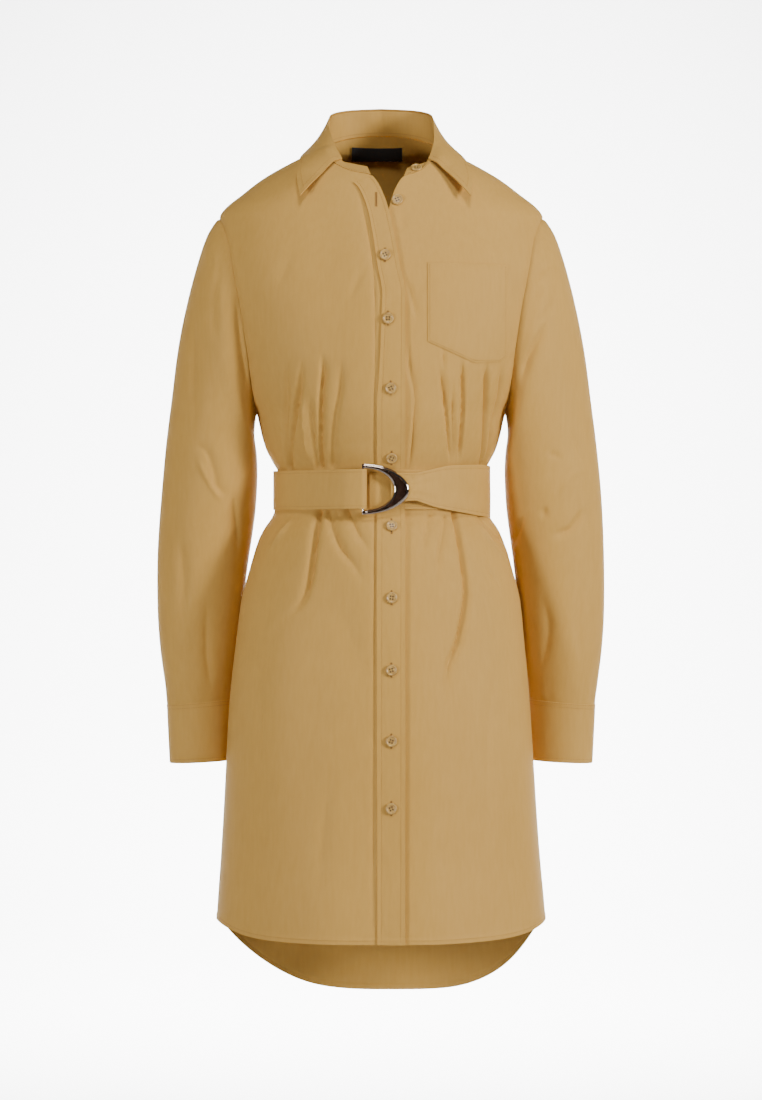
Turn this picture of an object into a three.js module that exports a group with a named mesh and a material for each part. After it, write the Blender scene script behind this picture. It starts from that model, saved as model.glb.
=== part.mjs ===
// A long-sleeved shirt dress with a ring belt, filled out as if worn.
// Millimetres, +Z up, the front faces -Y and +X is the wearer's left.
// The origin lies on the body's axis, level with the shoulders that hold the dress up.
import * as THREE from "three";

// Cloth
const WALL = 1.5; // a panel's wall
const GAP = 0.3; // between pieces that are sewn together
const CUFF_WALL = 2.4; // turned and lined cloth
const COLLAR_WALL = 1.8;
const BAND_WALL = 1.3; // the button band on the right front
const LAP = 2.3; // how far the right front rides out over the left
const LAP_START = 0.2; // shares of the right front's width where the lap starts to sink
const LAP_END = 0.42; // and where it has sunk to the form
const POCKET_GAP = 0.7; // the pocket's back face above the curved front
const POCKET_WALL = 1.2;

// Waist and belt
const WAIST = -391; // height of the belt's middle
const BELT_HIGH = 46;
const BELT_WALL = 1.5;
const BELT_LIFT = 5.1; // the belt's middle layer out from the body form
const BELT_START = -4; // turns round the body where the belt starts under the rings
const BELT_END = 308; // and where its folded end begins
const BELT_STATIONS = 40;

// Upper body
const UNDERARM = -298;
const ARMHOLE_MIDDLE = -181;
const ARMHOLE_HALF_HIGH = 117;
const ARMHOLE_HALF_DEEP = 60;
const NECK_SIDE = 20; // height of the neck seam on the shoulder
const NECK_BACK = 42; // and at the middle of the back
const SHOULDER_TIP = -64;

// Hems
const SIDE_HEM = -903;
const FRONT_HEM = -920;
const BACK_HEM = -1007;
const HEM_BLEND_TOP = -640; // rows above this height are level

// The dress's rounded form: half width, depth of the front and depth of the back at each height.
const SECTIONS = [
  { z: -1010, half: 203, front: 137, back: 136 },
  { z: -900, half: 197, front: 136, back: 135 },
  { z: -828, half: 191, front: 134, back: 134 },
  { z: -720, half: 184, front: 132, back: 133 },
  { z: -642, half: 179, front: 130, back: 131 },
  { z: -570, half: 172, front: 126, back: 127 },
  { z: -522, half: 167, front: 122, back: 122 },
  { z: -486, half: 158, front: 117, back: 115 },
  { z: -450, half: 147, front: 110, back: 105 },
  { z: -434, half: 138, front: 104, back: 97 },
  { z: -423, half: 128, front: 97, back: 92 },
  { z: -414, half: 126, front: 96, back: 90 },
  { z: -368, half: 125, front: 96, back: 90 },
  { z: -360, half: 126.5, front: 97, back: 90.5 },
  { z: -350, half: 132, front: 100, back: 92.5 },
  { z: -338, half: 138, front: 105, back: 94.5 },
  { z: -324, half: 143, front: 111, back: 96 },
  { z: -298, half: 149, front: 119, back: 99 },
  { z: -282, half: 157, front: 121, back: 100 },
  { z: -239, half: 173, front: 124, back: 103 },
  { z: -181, half: 190, front: 122, back: 106 },
  { z: -122, half: 199, front: 112, back: 104 },
  { z: -90, half: 197, front: 101, back: 100 },
  { z: -64, half: 194, front: 92, back: 96 },
  { z: -54, half: 188, front: 89, back: 94 },
  { z: -36, half: 166, front: 83, back: 90 },
  { z: -18, half: 142, front: 76, back: 85 },
  { z: 0, half: 111, front: 66, back: 79 },
  { z: 10, half: 91, front: 58, back: 75 },
  { z: 20, half: 68, front: 50, back: 70 },
  { z: 42, half: 60, front: 30, back: 64 },
];

// The fronts above the underarm, a row of the cloth each: x of both free edges and their height,
// and the turn round the armhole, from the underarm to the shoulder tip, where the row ends.
const FRONT_ROWS = [
  { row: 0, z: -298, right: 28, left: -4, arm: 0 },
  { row: 1, z: -245, right: 28, left: -4, arm: 30 },
  { row: 2, z: -200, right: 28, left: -4, arm: 60 },
  { row: 3, z: -165, right: 28, left: -4, arm: 90 },
  { row: 4, z: -130, right: 21.5, left: 2, arm: 104 },
  { row: 5, z: -90, right: 15, left: 6, arm: 118 },
  { row: 6, z: -48, right: 9, left: 9.5, arm: 131 },
  { row: 7, z: -14, right: -12, left: 30, arm: 143 },
  { row: 8, z: -11, right: -34, left: 42, arm: 153 },
  { row: 9, z: -4, right: -52, left: 54, arm: 161 },
  { row: 10, z: 4, right: -63, left: 63, arm: 168 },
  { row: 11, z: 13, right: -68.5, left: 68.5, arm: 174 },
  { row: 12, z: 20, right: -68, left: 68, arm: 180 },
];
const UPPER_ROWS = FRONT_ROWS.length - 1;
const NECK_ROW = 7; // the row where the opening meets the neck seam

// Heights of the rows between the hem and the underarm, closest at the waist.
const LOWER_HEIGHTS = [
  -860, -790, -715, -640, -585, -540, -505, -475, -450, -430, -414, -391, -368, -352, -332, -315,
];
const HEM_ROWS = 4; // the first rows, which follow the hem's curve

// Angles from the free edge to the side, where the columns of a front lie: closest over the tucks.
const FRONT_COLUMNS = [8.5, 16, 20, 24, 28, 32, 36.5, 41, 46, 51, 57, 63, 71, 80, 90];
const RIGHT_BAND_COLUMNS = [-14, -6, 1.5]; // the right front's columns under the button band
const LEFT_EDGE_COLUMN = -2;
const BAND_WIDE = 32;

// Tucks and folds: a soft trough in the cloth from its upper to its lower end, as seen from the front.
const FOLDS = [
  { face: 1, topX: -108, topZ: -228, endX: -112, endZ: -388, deep: 4.0, half: 7 },
  { face: 1, topX: -92, topZ: -226, endX: -104, endZ: -388, deep: 3.5, half: 7 },
  { face: 1, topX: -71, topZ: -226, endX: -73, endZ: -388, deep: 4.5, half: 7 },
  { face: 1, topX: -46, topZ: -226, endX: -58, endZ: -388, deep: 3.0, half: 8 },
  { face: 1, topX: 66, topZ: -234, endX: 84, endZ: -382, deep: 3.5, half: 7 },
  { face: 1, topX: 97, topZ: -236, endX: 94, endZ: -382, deep: 4.0, half: 7 },
  { face: 1, topX: 125, topZ: -240, endX: 120, endZ: -388, deep: 4.5, half: 8 },
  { face: 1, topX: -75, topZ: -398, endX: -96, endZ: -545, deep: 5.0, half: 8 },
  { face: 1, topX: -62, topZ: -398, endX: -24, endZ: -520, deep: 3.0, half: 9 },
  { face: 1, topX: -72, topZ: -480, endX: -30, endZ: -670, deep: 3.5, half: 14 },
  { face: 1, topX: 88, topZ: -398, endX: 100, endZ: -560, deep: 5.0, half: 8 },
  { face: 1, topX: 100, topZ: -500, endX: 72, endZ: -690, deep: 3.5, half: 14 },
  { face: 1, topX: 62, topZ: -400, endX: 46, endZ: -490, deep: 3.0, half: 8 },
  { face: -1, topX: -92, topZ: -290, endX: -86, endZ: -386, deep: 3.5, half: 9 },
  { face: -1, topX: -48, topZ: -262, endX: -44, endZ: -386, deep: 4.0, half: 9 },
  { face: -1, topX: -6, topZ: -276, endX: -4, endZ: -386, deep: 3.0, half: 9 },
  { face: -1, topX: 40, topZ: -256, endX: 36, endZ: -386, deep: 4.0, half: 9 },
  { face: -1, topX: 86, topZ: -292, endX: 82, endZ: -386, deep: 3.5, half: 9 },
  { face: -1, topX: -84, topZ: -396, endX: -98, endZ: -560, deep: 4.5, half: 11 },
  { face: -1, topX: -34, topZ: -396, endX: -30, endZ: -620, deep: 4.0, half: 12 },
  { face: -1, topX: 30, topZ: -396, endX: 38, endZ: -585, deep: 4.5, half: 12 },
  { face: -1, topX: 80, topZ: -396, endX: 96, endZ: -640, deep: 4.0, half: 12 },
];
const FOLD_FADE = 34; // length over which a fold starts and ends
const ROUND_SHARE = 0.85; // arc length over half width, for the form's flattened section

// The sleeve below its seam: the outer and inner point of each ring, its half depth and its middle.
const SLEEVE_RINGS = [
  { outX: 209, outZ: -86, inX: 152, inZ: -322, deep: 62, y: 2 },
  { outX: 223, outZ: -127, inX: 149.5, inZ: -345, deep: 62, y: 5 },
  { outX: 235, outZ: -174, inX: 148.5, inZ: -364, deep: 60, y: 9 },
  { outX: 245, outZ: -225, inX: 149, inZ: -386, deep: 58, y: 13 },
  { outX: 253, outZ: -285, inX: 151, inZ: -414, deep: 56, y: 17 },
  { outX: 260, outZ: -340, inX: 155, inZ: -443, deep: 54, y: 21 },
  { outX: 265.5, outZ: -395, inX: 159.5, inZ: -473, deep: 52, y: 25 },
  { outX: 269, outZ: -450, inX: 163.5, inZ: -506, deep: 50, y: 29 },
  { outX: 270.5, outZ: -500, inX: 166.5, inZ: -538, deep: 48, y: 33 },
  { outX: 270, outZ: -545, inX: 169.5, inZ: -567, deep: 46, y: 37 },
  { outX: 267, outZ: -585, inX: 172.5, inZ: -596, deep: 44, y: 40 },
  { outX: 262.5, outZ: -622, inX: 175.5, inZ: -622, deep: 42, y: 43 },
  { outX: 259.5, outZ: -650, inX: 178, inZ: -643, deep: 39.5, y: 45 },
];
const SLEEVE_FOLDS = [
  { ring: 3.4, turn: 118, deep: 3.5, long: 2.6, wide: 22 },
  { ring: 6.0, turn: 62, deep: 4.0, long: 1.1, wide: 60 },
  { ring: 7.3, turn: 96, deep: 3.5, long: 0.9, wide: 48 },
  { ring: 9.2, turn: 70, deep: 3.0, long: 1.2, wide: 40 },
  { ring: 5.4, turn: 250, deep: 3.5, long: 1.0, wide: 50 },
  { ring: 7.6, turn: 285, deep: 3.0, long: 1.1, wide: 45 },
];
const CREASE_SLANT = 0.012; // rings down for each degree round
const CUFF_RINGS = [
  { outX: 259.4, outZ: -650.5, inX: 178.1, inZ: -643.5, deep: 39.4, y: 45 },
  { outX: 258.2, outZ: -686, inX: 178.6, inZ: -680, deep: 38.4, y: 45.5 },
  { outX: 256.5, outZ: -720, inX: 179.5, inZ: -716, deep: 37.6, y: 46 },
];

// The collar from the middle of the back to its front end: neck seam, fold along the top of the
// stand, and outer edge of the leaf. The stand goes on past the leaf's front edge.
const COLLAR = [
  { at: 0.0, rollX: 0, rollY: 62, rollZ: 73, edgeX: 0, edgeY: 77, edgeZ: 30, puff: 5 },
  { at: 0.25, rollX: 37, rollY: 52, rollZ: 70, edgeX: 45, edgeY: 68, edgeZ: 28, puff: 5 },
  { at: 0.5, rollX: 60, rollY: 22, rollZ: 60, edgeX: 84, edgeY: 32, edgeZ: 18, puff: 6 },
  { at: 0.62, rollX: 62, rollY: 2, rollZ: 50, edgeX: 92, edgeY: 2, edgeZ: 14, puff: 6 },
  { at: 0.72, rollX: 60, rollY: -17, rollZ: 37, edgeX: 96, edgeY: -36, edgeZ: 2, puff: 6 },
  { at: 0.8, rollX: 56, rollY: -32, rollZ: 23, edgeX: 99, edgeY: -63, edgeZ: -23, puff: 8 },
  { at: 0.88, rollX: 50, rollY: -46, rollZ: 8, edgeX: 95, edgeY: -84, edgeZ: -47, puff: 10 },
];
const LEAF_END = 0.88;
const LEFT_SHIFT = 10; // how much further out the left side's front end lies
const STAND_ENDS = {
  right: { x: -17, y: -57, z: -2 },
  left: { x: 31.5, y: -57, z: -4 },
};
const STAND_SEAM_GAP = 1.2; // the stand's lower edge above the neck seam
const LEAF_SEAM_GAP = 2.2; // the leaf's fold above the stand at the back
const LEAF_FRONT_GAP = 4.0; // and at its front edge, where the stand leans back
const LEAF_BULGE_AT = 0.42; // share of the way down where the leaf bulges most
const LEAF_BULGE_RISE = 30; // the bulge leans up by this against its way out
const LEAF_COLUMNS = 28;
const LEAF_ROWS = 4;

// The breast pocket on the left front
const POCKET_COLUMNS = [54, 68, 82, 96, 109, 120, 130, 139, 148];
const POCKET_TOP = -126;
const POCKET_BOTTOM = [
  { x: 54, z: -219 },
  { x: 109, z: -243 },
  { x: 139, z: -241 },
  { x: 148, z: -232 },
];

// The belt's tail, which comes out of the rings to the left and fans out
const TAIL = [
  { turn: 7, low: -406, high: -372, lift: 5.0 },
  { turn: 17, low: -404, high: -372, lift: 7.4 },
  { turn: 22, low: -407, high: -370, lift: 4.6 },
  { turn: 28, low: -411, high: -367, lift: 2.8 },
  { turn: 38, low: -415, high: -363, lift: 2.2 },
  { turn: 62, low: -421, high: -361, lift: 2.1 },
  { turn: 90, low: -424, high: -362, lift: 2.0 },
  { turn: 108, low: -420, high: -366, lift: 2.0 },
  { turn: 122, low: -415, high: -370, lift: 2.0 },
];

const TAIL_TURNS = [
  7, 12, 17, 22, 28, 33, 38, 44, 50, 56, 62, 69, 76, 83, 90, 96, 102, 108, 115, 122,
];

// The belt's end, folded round the straight bars of the rings: x and distance out from the form.
const BAR_X = -17;
const LOOP_MIDDLE = 10.1;
const LOOP_RADIUS = 4.7;
const LOOP_LEAD = [
  { x: -96, out: 5.2 },
  { x: -78, out: 6.4 },
  { x: -62, out: 8.3 },
  { x: -48, out: 10.8 },
  { x: -36, out: 13.0 },
  { x: -26, out: 14.2 },
];
const LOOP_RETURN = [
  { x: -26, out: 5.7 },
  { x: -38, out: 5.7 },
  { x: -50, out: 5.7 },
];

// The two D rings
const RING_HALF_HIGH = 29;
const RING_REACH = 51; // from the bar to the outside of the curve
const RING_WINDOW_REACH = 33.5;
const RING_WINDOW_HALF_HIGH = 25.2;
const RING_BAR = 2.6; // width of the straight bar
const RING_THICK = 1.6;
const RING_MIDDLE = -391.8;
const RING_FRONT_OUT = 11.2; // the front ring's middle from the form at x = 0
const RING_BACK_OUT = 7.0;
const RING_BACK_RISE = 1.6; // the back ring sits a little higher

// Buttons; clear is what a flat back needs over a curved front
const BUTTON_RADIUS = 6.7;
const BUTTON_THICK = 2.6;
const BUTTON_SIDES = 10;
const BUTTON_LINE = 12.2;
const BUTTONS = [
  { name: "button_2", x: 4.6, z: -119, clear: -0.6 },
  { name: "button_3", x: 8, z: -193, clear: 0 },
  { name: "button_4", x: 11, z: -273.5, clear: -0.3 },
  { name: "button_5", x: BUTTON_LINE, z: -353, clear: 0.8 },
  { name: "button_6", x: BUTTON_LINE, z: -436, clear: -0.8 },
  { name: "button_7", x: BUTTON_LINE, z: -518, clear: 0 },
  { name: "button_8", x: BUTTON_LINE, z: -602, clear: 0 },
  { name: "button_9", x: BUTTON_LINE, z: -684, clear: 0 },
  { name: "button_10", x: BUTTON_LINE, z: -762, clear: 0 },
];
const OPEN_BUTTON = { name: "button_1", x: 19, z: -51, clear: 0 };
const STAND_BUTTON_CLEAR = 0.6;
const STAND_BUTTON_AT = -0.93; // place along the stand, near its left end
const CUFF_BUTTON_TURN = 235; // on the outer back of the cuff

// The bare label inside the back neck
const LABEL_LEFT = -37;
const LABEL_RIGHT = 27;
const LABEL_LOW = 14;
const LABEL_HIGH = 28.5;
const LABEL_WALL = 1.0;
const LABEL_GAP = 2.4; // to the back's inner side

const cloth = new THREE.MeshStandardMaterial({ color: 0xc4a06e, roughness: 0.82, metalness: 0 });
const horn = new THREE.MeshStandardMaterial({ color: 0xd8bd8a, roughness: 0.35, metalness: 0 });
const steel = new THREE.MeshStandardMaterial({ color: 0xb9b2a8, roughness: 0.18, metalness: 1 });
const black = new THREE.MeshStandardMaterial({ color: 0x14120f, roughness: 0.7, metalness: 0 });

const radians = THREE.MathUtils.degToRad;
const lerp = THREE.MathUtils.lerp;

// A soft step from 0 to 1 between two values.
function step(low, high, value) {
  return THREE.MathUtils.smoothstep(value, low, high);
}

// A table's column read at any place between its rows, cubic and with no overshoot.
function read(rows, key, column, at) {
  let i = 0;
  while (i < rows.length - 2 && at > rows[i + 1][key]) i += 1;
  const slope = (k) =>
    (rows[k + 1][column] - rows[k][column]) / (rows[k + 1][key] - rows[k][key]);
  const tangent = (k) => {
    if (k === 0) return slope(0);
    if (k === rows.length - 1) return slope(k - 1);
    const before = slope(k - 1);
    const after = slope(k);
    if (before * after <= 0) return 0;
    return (2 * before * after) / (before + after);
  };
  const span = rows[i + 1][key] - rows[i][key];
  const t = THREE.MathUtils.clamp((at - rows[i][key]) / span, 0, 1);
  const a = rows[i][column];
  const b = rows[i + 1][column];
  const rise = t * t * (3 - 2 * t);
  const lead = t * (1 - t) * (1 - t) * tangent(i) * span;
  const tail = t * t * (t - 1) * tangent(i + 1) * span;
  return a + (b - a) * rise + lead + tail;
}

const halfWidth = (z) => read(SECTIONS, "z", "half", z);

// A point of the form: turn 0 is the middle of the front, 90 the wearer's left side, 180 the back.
function form(turn, z) {
  const angle = radians(turn);
  const depth = read(SECTIONS, "z", Math.cos(angle) > 0 ? "front" : "back", z);
  return new THREE.Vector3(halfWidth(z) * Math.sin(angle), -depth * Math.cos(angle), z);
}

// The turn at which the form's front, or back, has a given x.
function turnAt(x, z, face = 1) {
  const ratio = THREE.MathUtils.clamp(x / halfWidth(z), -1, 1);
  const turn = THREE.MathUtils.radToDeg(Math.asin(ratio));
  return face > 0 ? turn : 180 - turn;
}

// How deep the tucks and folds go in at a point of the form.
function foldDepth(turn, z) {
  let total = 0;
  for (const fold of FOLDS) {
    if (z > fold.topZ || z < fold.endZ) continue;
    const along = (fold.topZ - z) / (fold.topZ - fold.endZ);
    const from = turnAt(fold.topX, fold.topZ, fold.face);
    const to = turnAt(fold.endX, fold.endZ, fold.face);
    let off = turn - lerp(from, to, along);
    off = ((off + 540) % 360) - 180;
    const aside = radians(off) * ROUND_SHARE * halfWidth(z);
    const fade = step(0, FOLD_FADE, fold.topZ - z) * step(0, FOLD_FADE, z - fold.endZ);
    total += fold.deep * fade * Math.exp(-((aside / fold.half) ** 2));
  }
  return total;
}

// The same point on the cloth, with its tucks and folds.
function cloths(turn, z) {
  const point = form(turn, z);
  const deep = foldDepth(turn, z);
  if (deep === 0) return point;
  const middle = new THREE.Vector3(0, 0, z);
  return point.add(middle.sub(point).setLength(deep));
}

// A surface's point moved out along its normal; u runs anticlockwise seen from above, v runs up.
function moved(surface, u, v, lift, du, dv) {
  const alongU = surface(u + du, v).sub(surface(u - du, v));
  const alongV = surface(u, v + dv).sub(surface(u, v - dv));
  const normal = alongU.cross(alongV).normalize();
  return surface(u, v).addScaledVector(normal, lift);
}

// A closed wall over a grid of a surface, between two distances from it. A ringed wall is a tube.
function wall(surface, us, vs, inner, outer, options = {}) {
  const { ringed = false, du = 1e-3, dv = 1e-3 } = options;
  const columns = us.length;
  const rows = vs.length;
  const places = [];
  for (const lift of [outer, inner])
    for (const v of vs)
      for (const u of us) places.push(...moved(surface, u, v, lift, du, dv).toArray());
  const at = (side, i, j) => side * columns * rows + j * columns + (i % columns);
  const faces = [];
  const quad = (a, b, c, d) => faces.push(a, b, c, a, c, d);
  const spans = ringed ? columns : columns - 1;
  for (let i = 0; i < spans; i += 1) {
    for (let j = 0; j < rows - 1; j += 1) {
      quad(at(0, i, j), at(0, i + 1, j), at(0, i + 1, j + 1), at(0, i, j + 1));
      quad(at(1, i, j), at(1, i, j + 1), at(1, i + 1, j + 1), at(1, i + 1, j));
    }
    quad(at(1, i, 0), at(1, i + 1, 0), at(0, i + 1, 0), at(0, i, 0));
    quad(at(0, i, rows - 1), at(0, i + 1, rows - 1), at(1, i + 1, rows - 1), at(1, i, rows - 1));
  }
  if (!ringed)
    for (let j = 0; j < rows - 1; j += 1) {
      const last = columns - 1;
      quad(at(0, 0, j), at(0, 0, j + 1), at(1, 0, j + 1), at(1, 0, j));
      quad(at(1, last, j), at(1, last, j + 1), at(0, last, j + 1), at(0, last, j));
    }
  const geometry = new THREE.BufferGeometry();
  geometry.setAttribute("position", new THREE.Float32BufferAttribute(places, 3));
  geometry.setIndex(faces);
  return geometry;
}

// Steps for the normal of a tube whose u is a turn in degrees and whose v is a ring.
const TUBE_STEPS = { du: 0.5, dv: 0.02 };

// Whole numbers from 0 to last.
function count(last) {
  return Array.from({ length: last + 1 }, (_, i) => i);
}

// Numbers from low to high in equal steps.
function spread(low, high, steps) {
  return count(steps).map((i) => lerp(low, high, i / steps));
}

const dress = new THREE.Group();

function add(name, geometry, material, parent = dress) {
  geometry.computeVertexNormals();
  const mesh = new THREE.Mesh(geometry, material);
  mesh.name = name;
  parent.add(mesh);
  return mesh;
}

// Where the armhole seam lies on the form, arm degrees up from the underarm; front or back half.
function armhole(arm, face) {
  const z = ARMHOLE_MIDDLE - ARMHOLE_HALF_HIGH * Math.cos(radians(arm));
  const depth = read(SECTIONS, "z", face > 0 ? "front" : "back", z);
  const out = (ARMHOLE_HALF_DEEP * Math.sin(radians(arm))) / depth;
  const turn = THREE.MathUtils.radToDeg(Math.acos(out));
  return { turn: face > 0 ? turn : 180 - turn, z };
}

// Height of the hem: shirt tails that are lowest in the middle and rise to the side seams.
function hemHeight(turn) {
  const aside = Math.abs(Math.sin(radians(turn)));
  if (Math.cos(radians(turn)) > 0) return lerp(FRONT_HEM, SIDE_HEM, aside ** 6);
  return lerp(BACK_HEM, SIDE_HEM, aside ** 2.7);
}

// Height of row j below the underarm at a turn; row 0 is the hem.
function lowerHeight(row, turn) {
  const heights = [hemHeight(turn), ...LOWER_HEIGHTS, UNDERARM];
  const i = Math.min(Math.floor(row), heights.length - 2);
  if (i >= HEM_ROWS) return lerp(heights[i], heights[i + 1], row - i);
  return lerp(hemHeight(turn), HEM_BLEND_TOP, row / HEM_ROWS);
}
const LOWER_ROWS = LOWER_HEIGHTS.length + 1;

// A place inside four boundary curves of the form's turn and height.
function patch(c, t, low, high, near, far) {
  const blend = (key) => {
    const level = lerp(low(c)[key], high(c)[key], t);
    const across = lerp(near(t)[key], far(t)[key], c);
    const lowCorners = lerp(low(0)[key], low(1)[key], c);
    const highCorners = lerp(high(0)[key], high(1)[key], c);
    return level + across - lerp(lowCorners, highCorners, t);
  };
  return { turn: blend("turn"), z: blend("z") };
}

// The right front's columns crowd together beside its free edge, so that the button band keeps its
// width: the share of the way to the side where a column lies at a row.
function bandedShare(share, row) {
  const up = THREE.MathUtils.clamp(row - LOWER_ROWS, 0, NECK_ROW);
  const z = up > 0 ? read(FRONT_ROWS, "row", "z", up) : lowerHeight(row, 0);
  const x = read(FRONT_ROWS, "row", "right", up);
  const arm = read(FRONT_ROWS, "row", "arm", up);
  const side = up > 0 ? armhole(arm, 1).turn : 90;
  const edge = turnAt(x, z);
  const wide = (edge - turnAt(x - BAND_WIDE, z)) / (edge + side);
  const band = frontShares(-1)[RIGHT_BAND_COLUMNS.length - 1];
  if (share <= band) return (share / band) * wide;
  return wide + ((share - band) / (1 - band)) * (1 - wide);
}

// A front's cloth: share 0 is its free edge and 1 its side, mirrored for the right front.
function frontPlace(side, column, row) {
  const edge = side > 0 ? "left" : "right";
  const share = side > 0 ? column : bandedShare(column, row);
  const seam = 90 - GAP;
  const edgeTurn = (x, z) => side * turnAt(x, z);
  if (row <= LOWER_ROWS) {
    const x = FRONT_ROWS[0][edge];
    const near = edgeTurn(x, lowerHeight(row, 0)) * (seam / 90);
    const turn = lerp(near, seam, share);
    return { turn: side * turn, z: lowerHeight(row, turn) };
  }
  const upper = row - LOWER_ROWS;
  const snug = seam / 90;
  const near = (t) => {
    const at = t * UPPER_ROWS;
    const z = read(FRONT_ROWS, "row", "z", at);
    const x = read(FRONT_ROWS, "row", edge, at);
    return { turn: edgeTurn(x, z) * snug, z };
  };
  const far = (t) => {
    const place = armhole(read(FRONT_ROWS, "row", "arm", t * UPPER_ROWS), 1);
    return { turn: place.turn * snug, z: place.z };
  };
  const low = (c) => ({ turn: lerp(near(0).turn, seam, c), z: UNDERARM });
  const high = (c) => ({ turn: seam, z: lerp(NECK_SIDE, SHOULDER_TIP, c) });
  const place = patch(share, upper / UPPER_ROWS, low, high, near, far);
  return { turn: side * place.turn, z: place.z };
}

// How far a front rides out: only the right one does, beside its free edge and below the neck.
function lap(side, share, row) {
  if (side > 0) return 0;
  const across = 1 - step(LAP_START, LAP_END, share);
  const up = 1 - step(NECK_ROW, UPPER_ROWS, row - LOWER_ROWS);
  return LAP * across * up;
}

function frontSurface(side) {
  const bare = (u, row) => {
    const place = frontPlace(side, side * u, row);
    return cloths(place.turn, place.z);
  };
  if (side > 0) return bare;
  return (u, row) => moved(bare, u, row, lap(side, -u, row), 1e-3, 1e-3);
}

// Columns of a front as shares of the way from its free edge to its side.
function frontShares(side) {
  const edge = side > 0 ? [LEFT_EDGE_COLUMN] : RIGHT_BAND_COLUMNS;
  const angles = [...edge, ...FRONT_COLUMNS];
  return angles.map((angle) => (angle - edge[0]) / (90 - edge[0]));
}

const ALL_ROWS = count(LOWER_ROWS + UPPER_ROWS);

function buildFront(name, side) {
  const shares = frontShares(side);
  const us = side > 0 ? shares : shares.map((share) => -share).reverse();
  add(name, wall(frontSurface(side), us, ALL_ROWS, -WALL, 0), cloth);
}

// The button band lies on the right front beside its free edge, up to the neck seam.
function buildBand() {
  const us = frontShares(-1)
    .slice(0, RIGHT_BAND_COLUMNS.length)
    .map((share) => -share)
    .reverse();
  const rows = count(LOWER_ROWS + NECK_ROW);
  add("placket", wall(frontSurface(-1), us, rows, GAP, GAP + BAND_WALL), cloth);
}

// The back, from its left side seam round to its right one.
function backPlace(share, row) {
  const seam = 90 + GAP;
  const far = 360 - seam;
  const snug = (180 - seam) / 90;
  if (row <= LOWER_ROWS) {
    const turn = lerp(seam, far, share);
    return { turn, z: lowerHeight(row, turn) };
  }
  const up = (row - LOWER_ROWS) / UPPER_ROWS;
  const side = (t) => {
    const place = armhole(read(FRONT_ROWS, "row", "arm", t * UPPER_ROWS), -1);
    return { turn: 180 - (180 - place.turn) * snug, z: place.z };
  };
  const other = (t) => ({ turn: 360 - side(t).turn, z: side(t).z });
  const low = (c) => ({ turn: lerp(seam, far, c), z: UNDERARM });
  const high = (c) => {
    const half = c <= 0.5 ? c : 1 - c;
    let turn = seam;
    let z = lerp(SHOULDER_TIP, NECK_SIDE, half / SHOULDER_SHARE);
    if (half > SHOULDER_SHARE) {
      const around = (half - SHOULDER_SHARE) / (0.5 - SHOULDER_SHARE);
      turn = lerp(seam, 180, around);
      z = lerp(NECK_SIDE, NECK_BACK, Math.sin((around * Math.PI) / 2));
    }
    return { turn: c <= 0.5 ? turn : 360 - turn, z };
  };
  return patch(share, up, low, high, side, other);
}
const BACK_COLUMNS = 24;
const SHOULDER_SHARE = 7 / BACK_COLUMNS; // share of the back's top edge that is each shoulder

function backSurface(u, row) {
  const place = backPlace(u, row);
  return cloths(place.turn, place.z);
}

function buildBack() {
  add("back", wall(backSurface, spread(0, 1, BACK_COLUMNS), ALL_ROWS, -WALL, 0), cloth);
}

// A ring of the sleeve or cuff: turn 0 is its inner side, 90 its front and 180 its outer side.
function ringPoint(ring, turn) {
  const angle = radians(turn);
  const along = (1 - Math.cos(angle)) / 2;
  return new THREE.Vector3(
    lerp(ring.inX, ring.outX, along),
    ring.y - ring.deep * Math.sin(angle),
    lerp(ring.inZ, ring.outZ, along),
  );
}

const SLEEVE_SEAM_SHIFT = 0.7; // the sleeve's first ring out from the armhole seam

function sleeveSeamPoint(turn) {
  const front = turn <= 180;
  const place = armhole(front ? turn : 360 - turn, front ? 1 : -1);
  const point = form(place.turn, place.z);
  point.x += SLEEVE_SEAM_SHIFT;
  return point;
}

// A sleeve's creases at the elbow and forearm.
function sleeveCrease(turn, ring) {
  let total = 0;
  for (const fold of SLEEVE_FOLDS) {
    const aside = (turn - fold.turn) / fold.wide;
    const slant = CREASE_SLANT * (turn - fold.turn);
    const along = (2 * (ring - fold.ring - slant)) / fold.long;
    total += fold.deep * Math.exp(-(aside ** 2) - along ** 2);
  }
  return total;
}

// The sleeve between its rings; ring 0 is the seam and v runs up from the cuff.
function sleeveSurface(side) {
  const last = SLEEVE_RINGS.length;
  const point = (index, turn) => {
    const i = THREE.MathUtils.clamp(index, 0, last);
    return i === 0 ? sleeveSeamPoint(turn) : ringPoint(SLEEVE_RINGS[i - 1], turn);
  };
  return (u, v) => {
    const turn = (((side * u) % 360) + 360) % 360;
    const ring = -v;
    const i = THREE.MathUtils.clamp(Math.floor(ring), 0, last - 1);
    const four = [i - 1, i, i + 1, i + 2].map((k) => point(k, turn));
    const place = new THREE.CatmullRomCurve3(four, false, "catmullrom", 0.5);
    const at = place.getPoint((1 + ring - i) / 3);
    const middle = ringMiddle(ring);
    const deep = sleeveCrease(turn, ring);
    at.add(middle.sub(at).setLength(deep));
    at.x *= side;
    return at;
  };
}

// The middle of the sleeve at a ring.
function ringMiddle(ring) {
  const i = THREE.MathUtils.clamp(Math.round(ring) - 1, 0, SLEEVE_RINGS.length - 1);
  const at = SLEEVE_RINGS[i];
  return new THREE.Vector3((at.inX + at.outX) / 2, at.y, (at.inZ + at.outZ) / 2);
}

// Turns round a sleeve that match the rows of the panels at the armhole.
function sleeveTurns(side) {
  const front = FRONT_ROWS.map((row) => row.arm);
  const back = front.slice(1, -1).map((arm) => 360 - arm).reverse();
  const turns = [...front, ...back];
  return side > 0 ? turns : turns.map((turn) => -turn).reverse();
}

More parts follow.
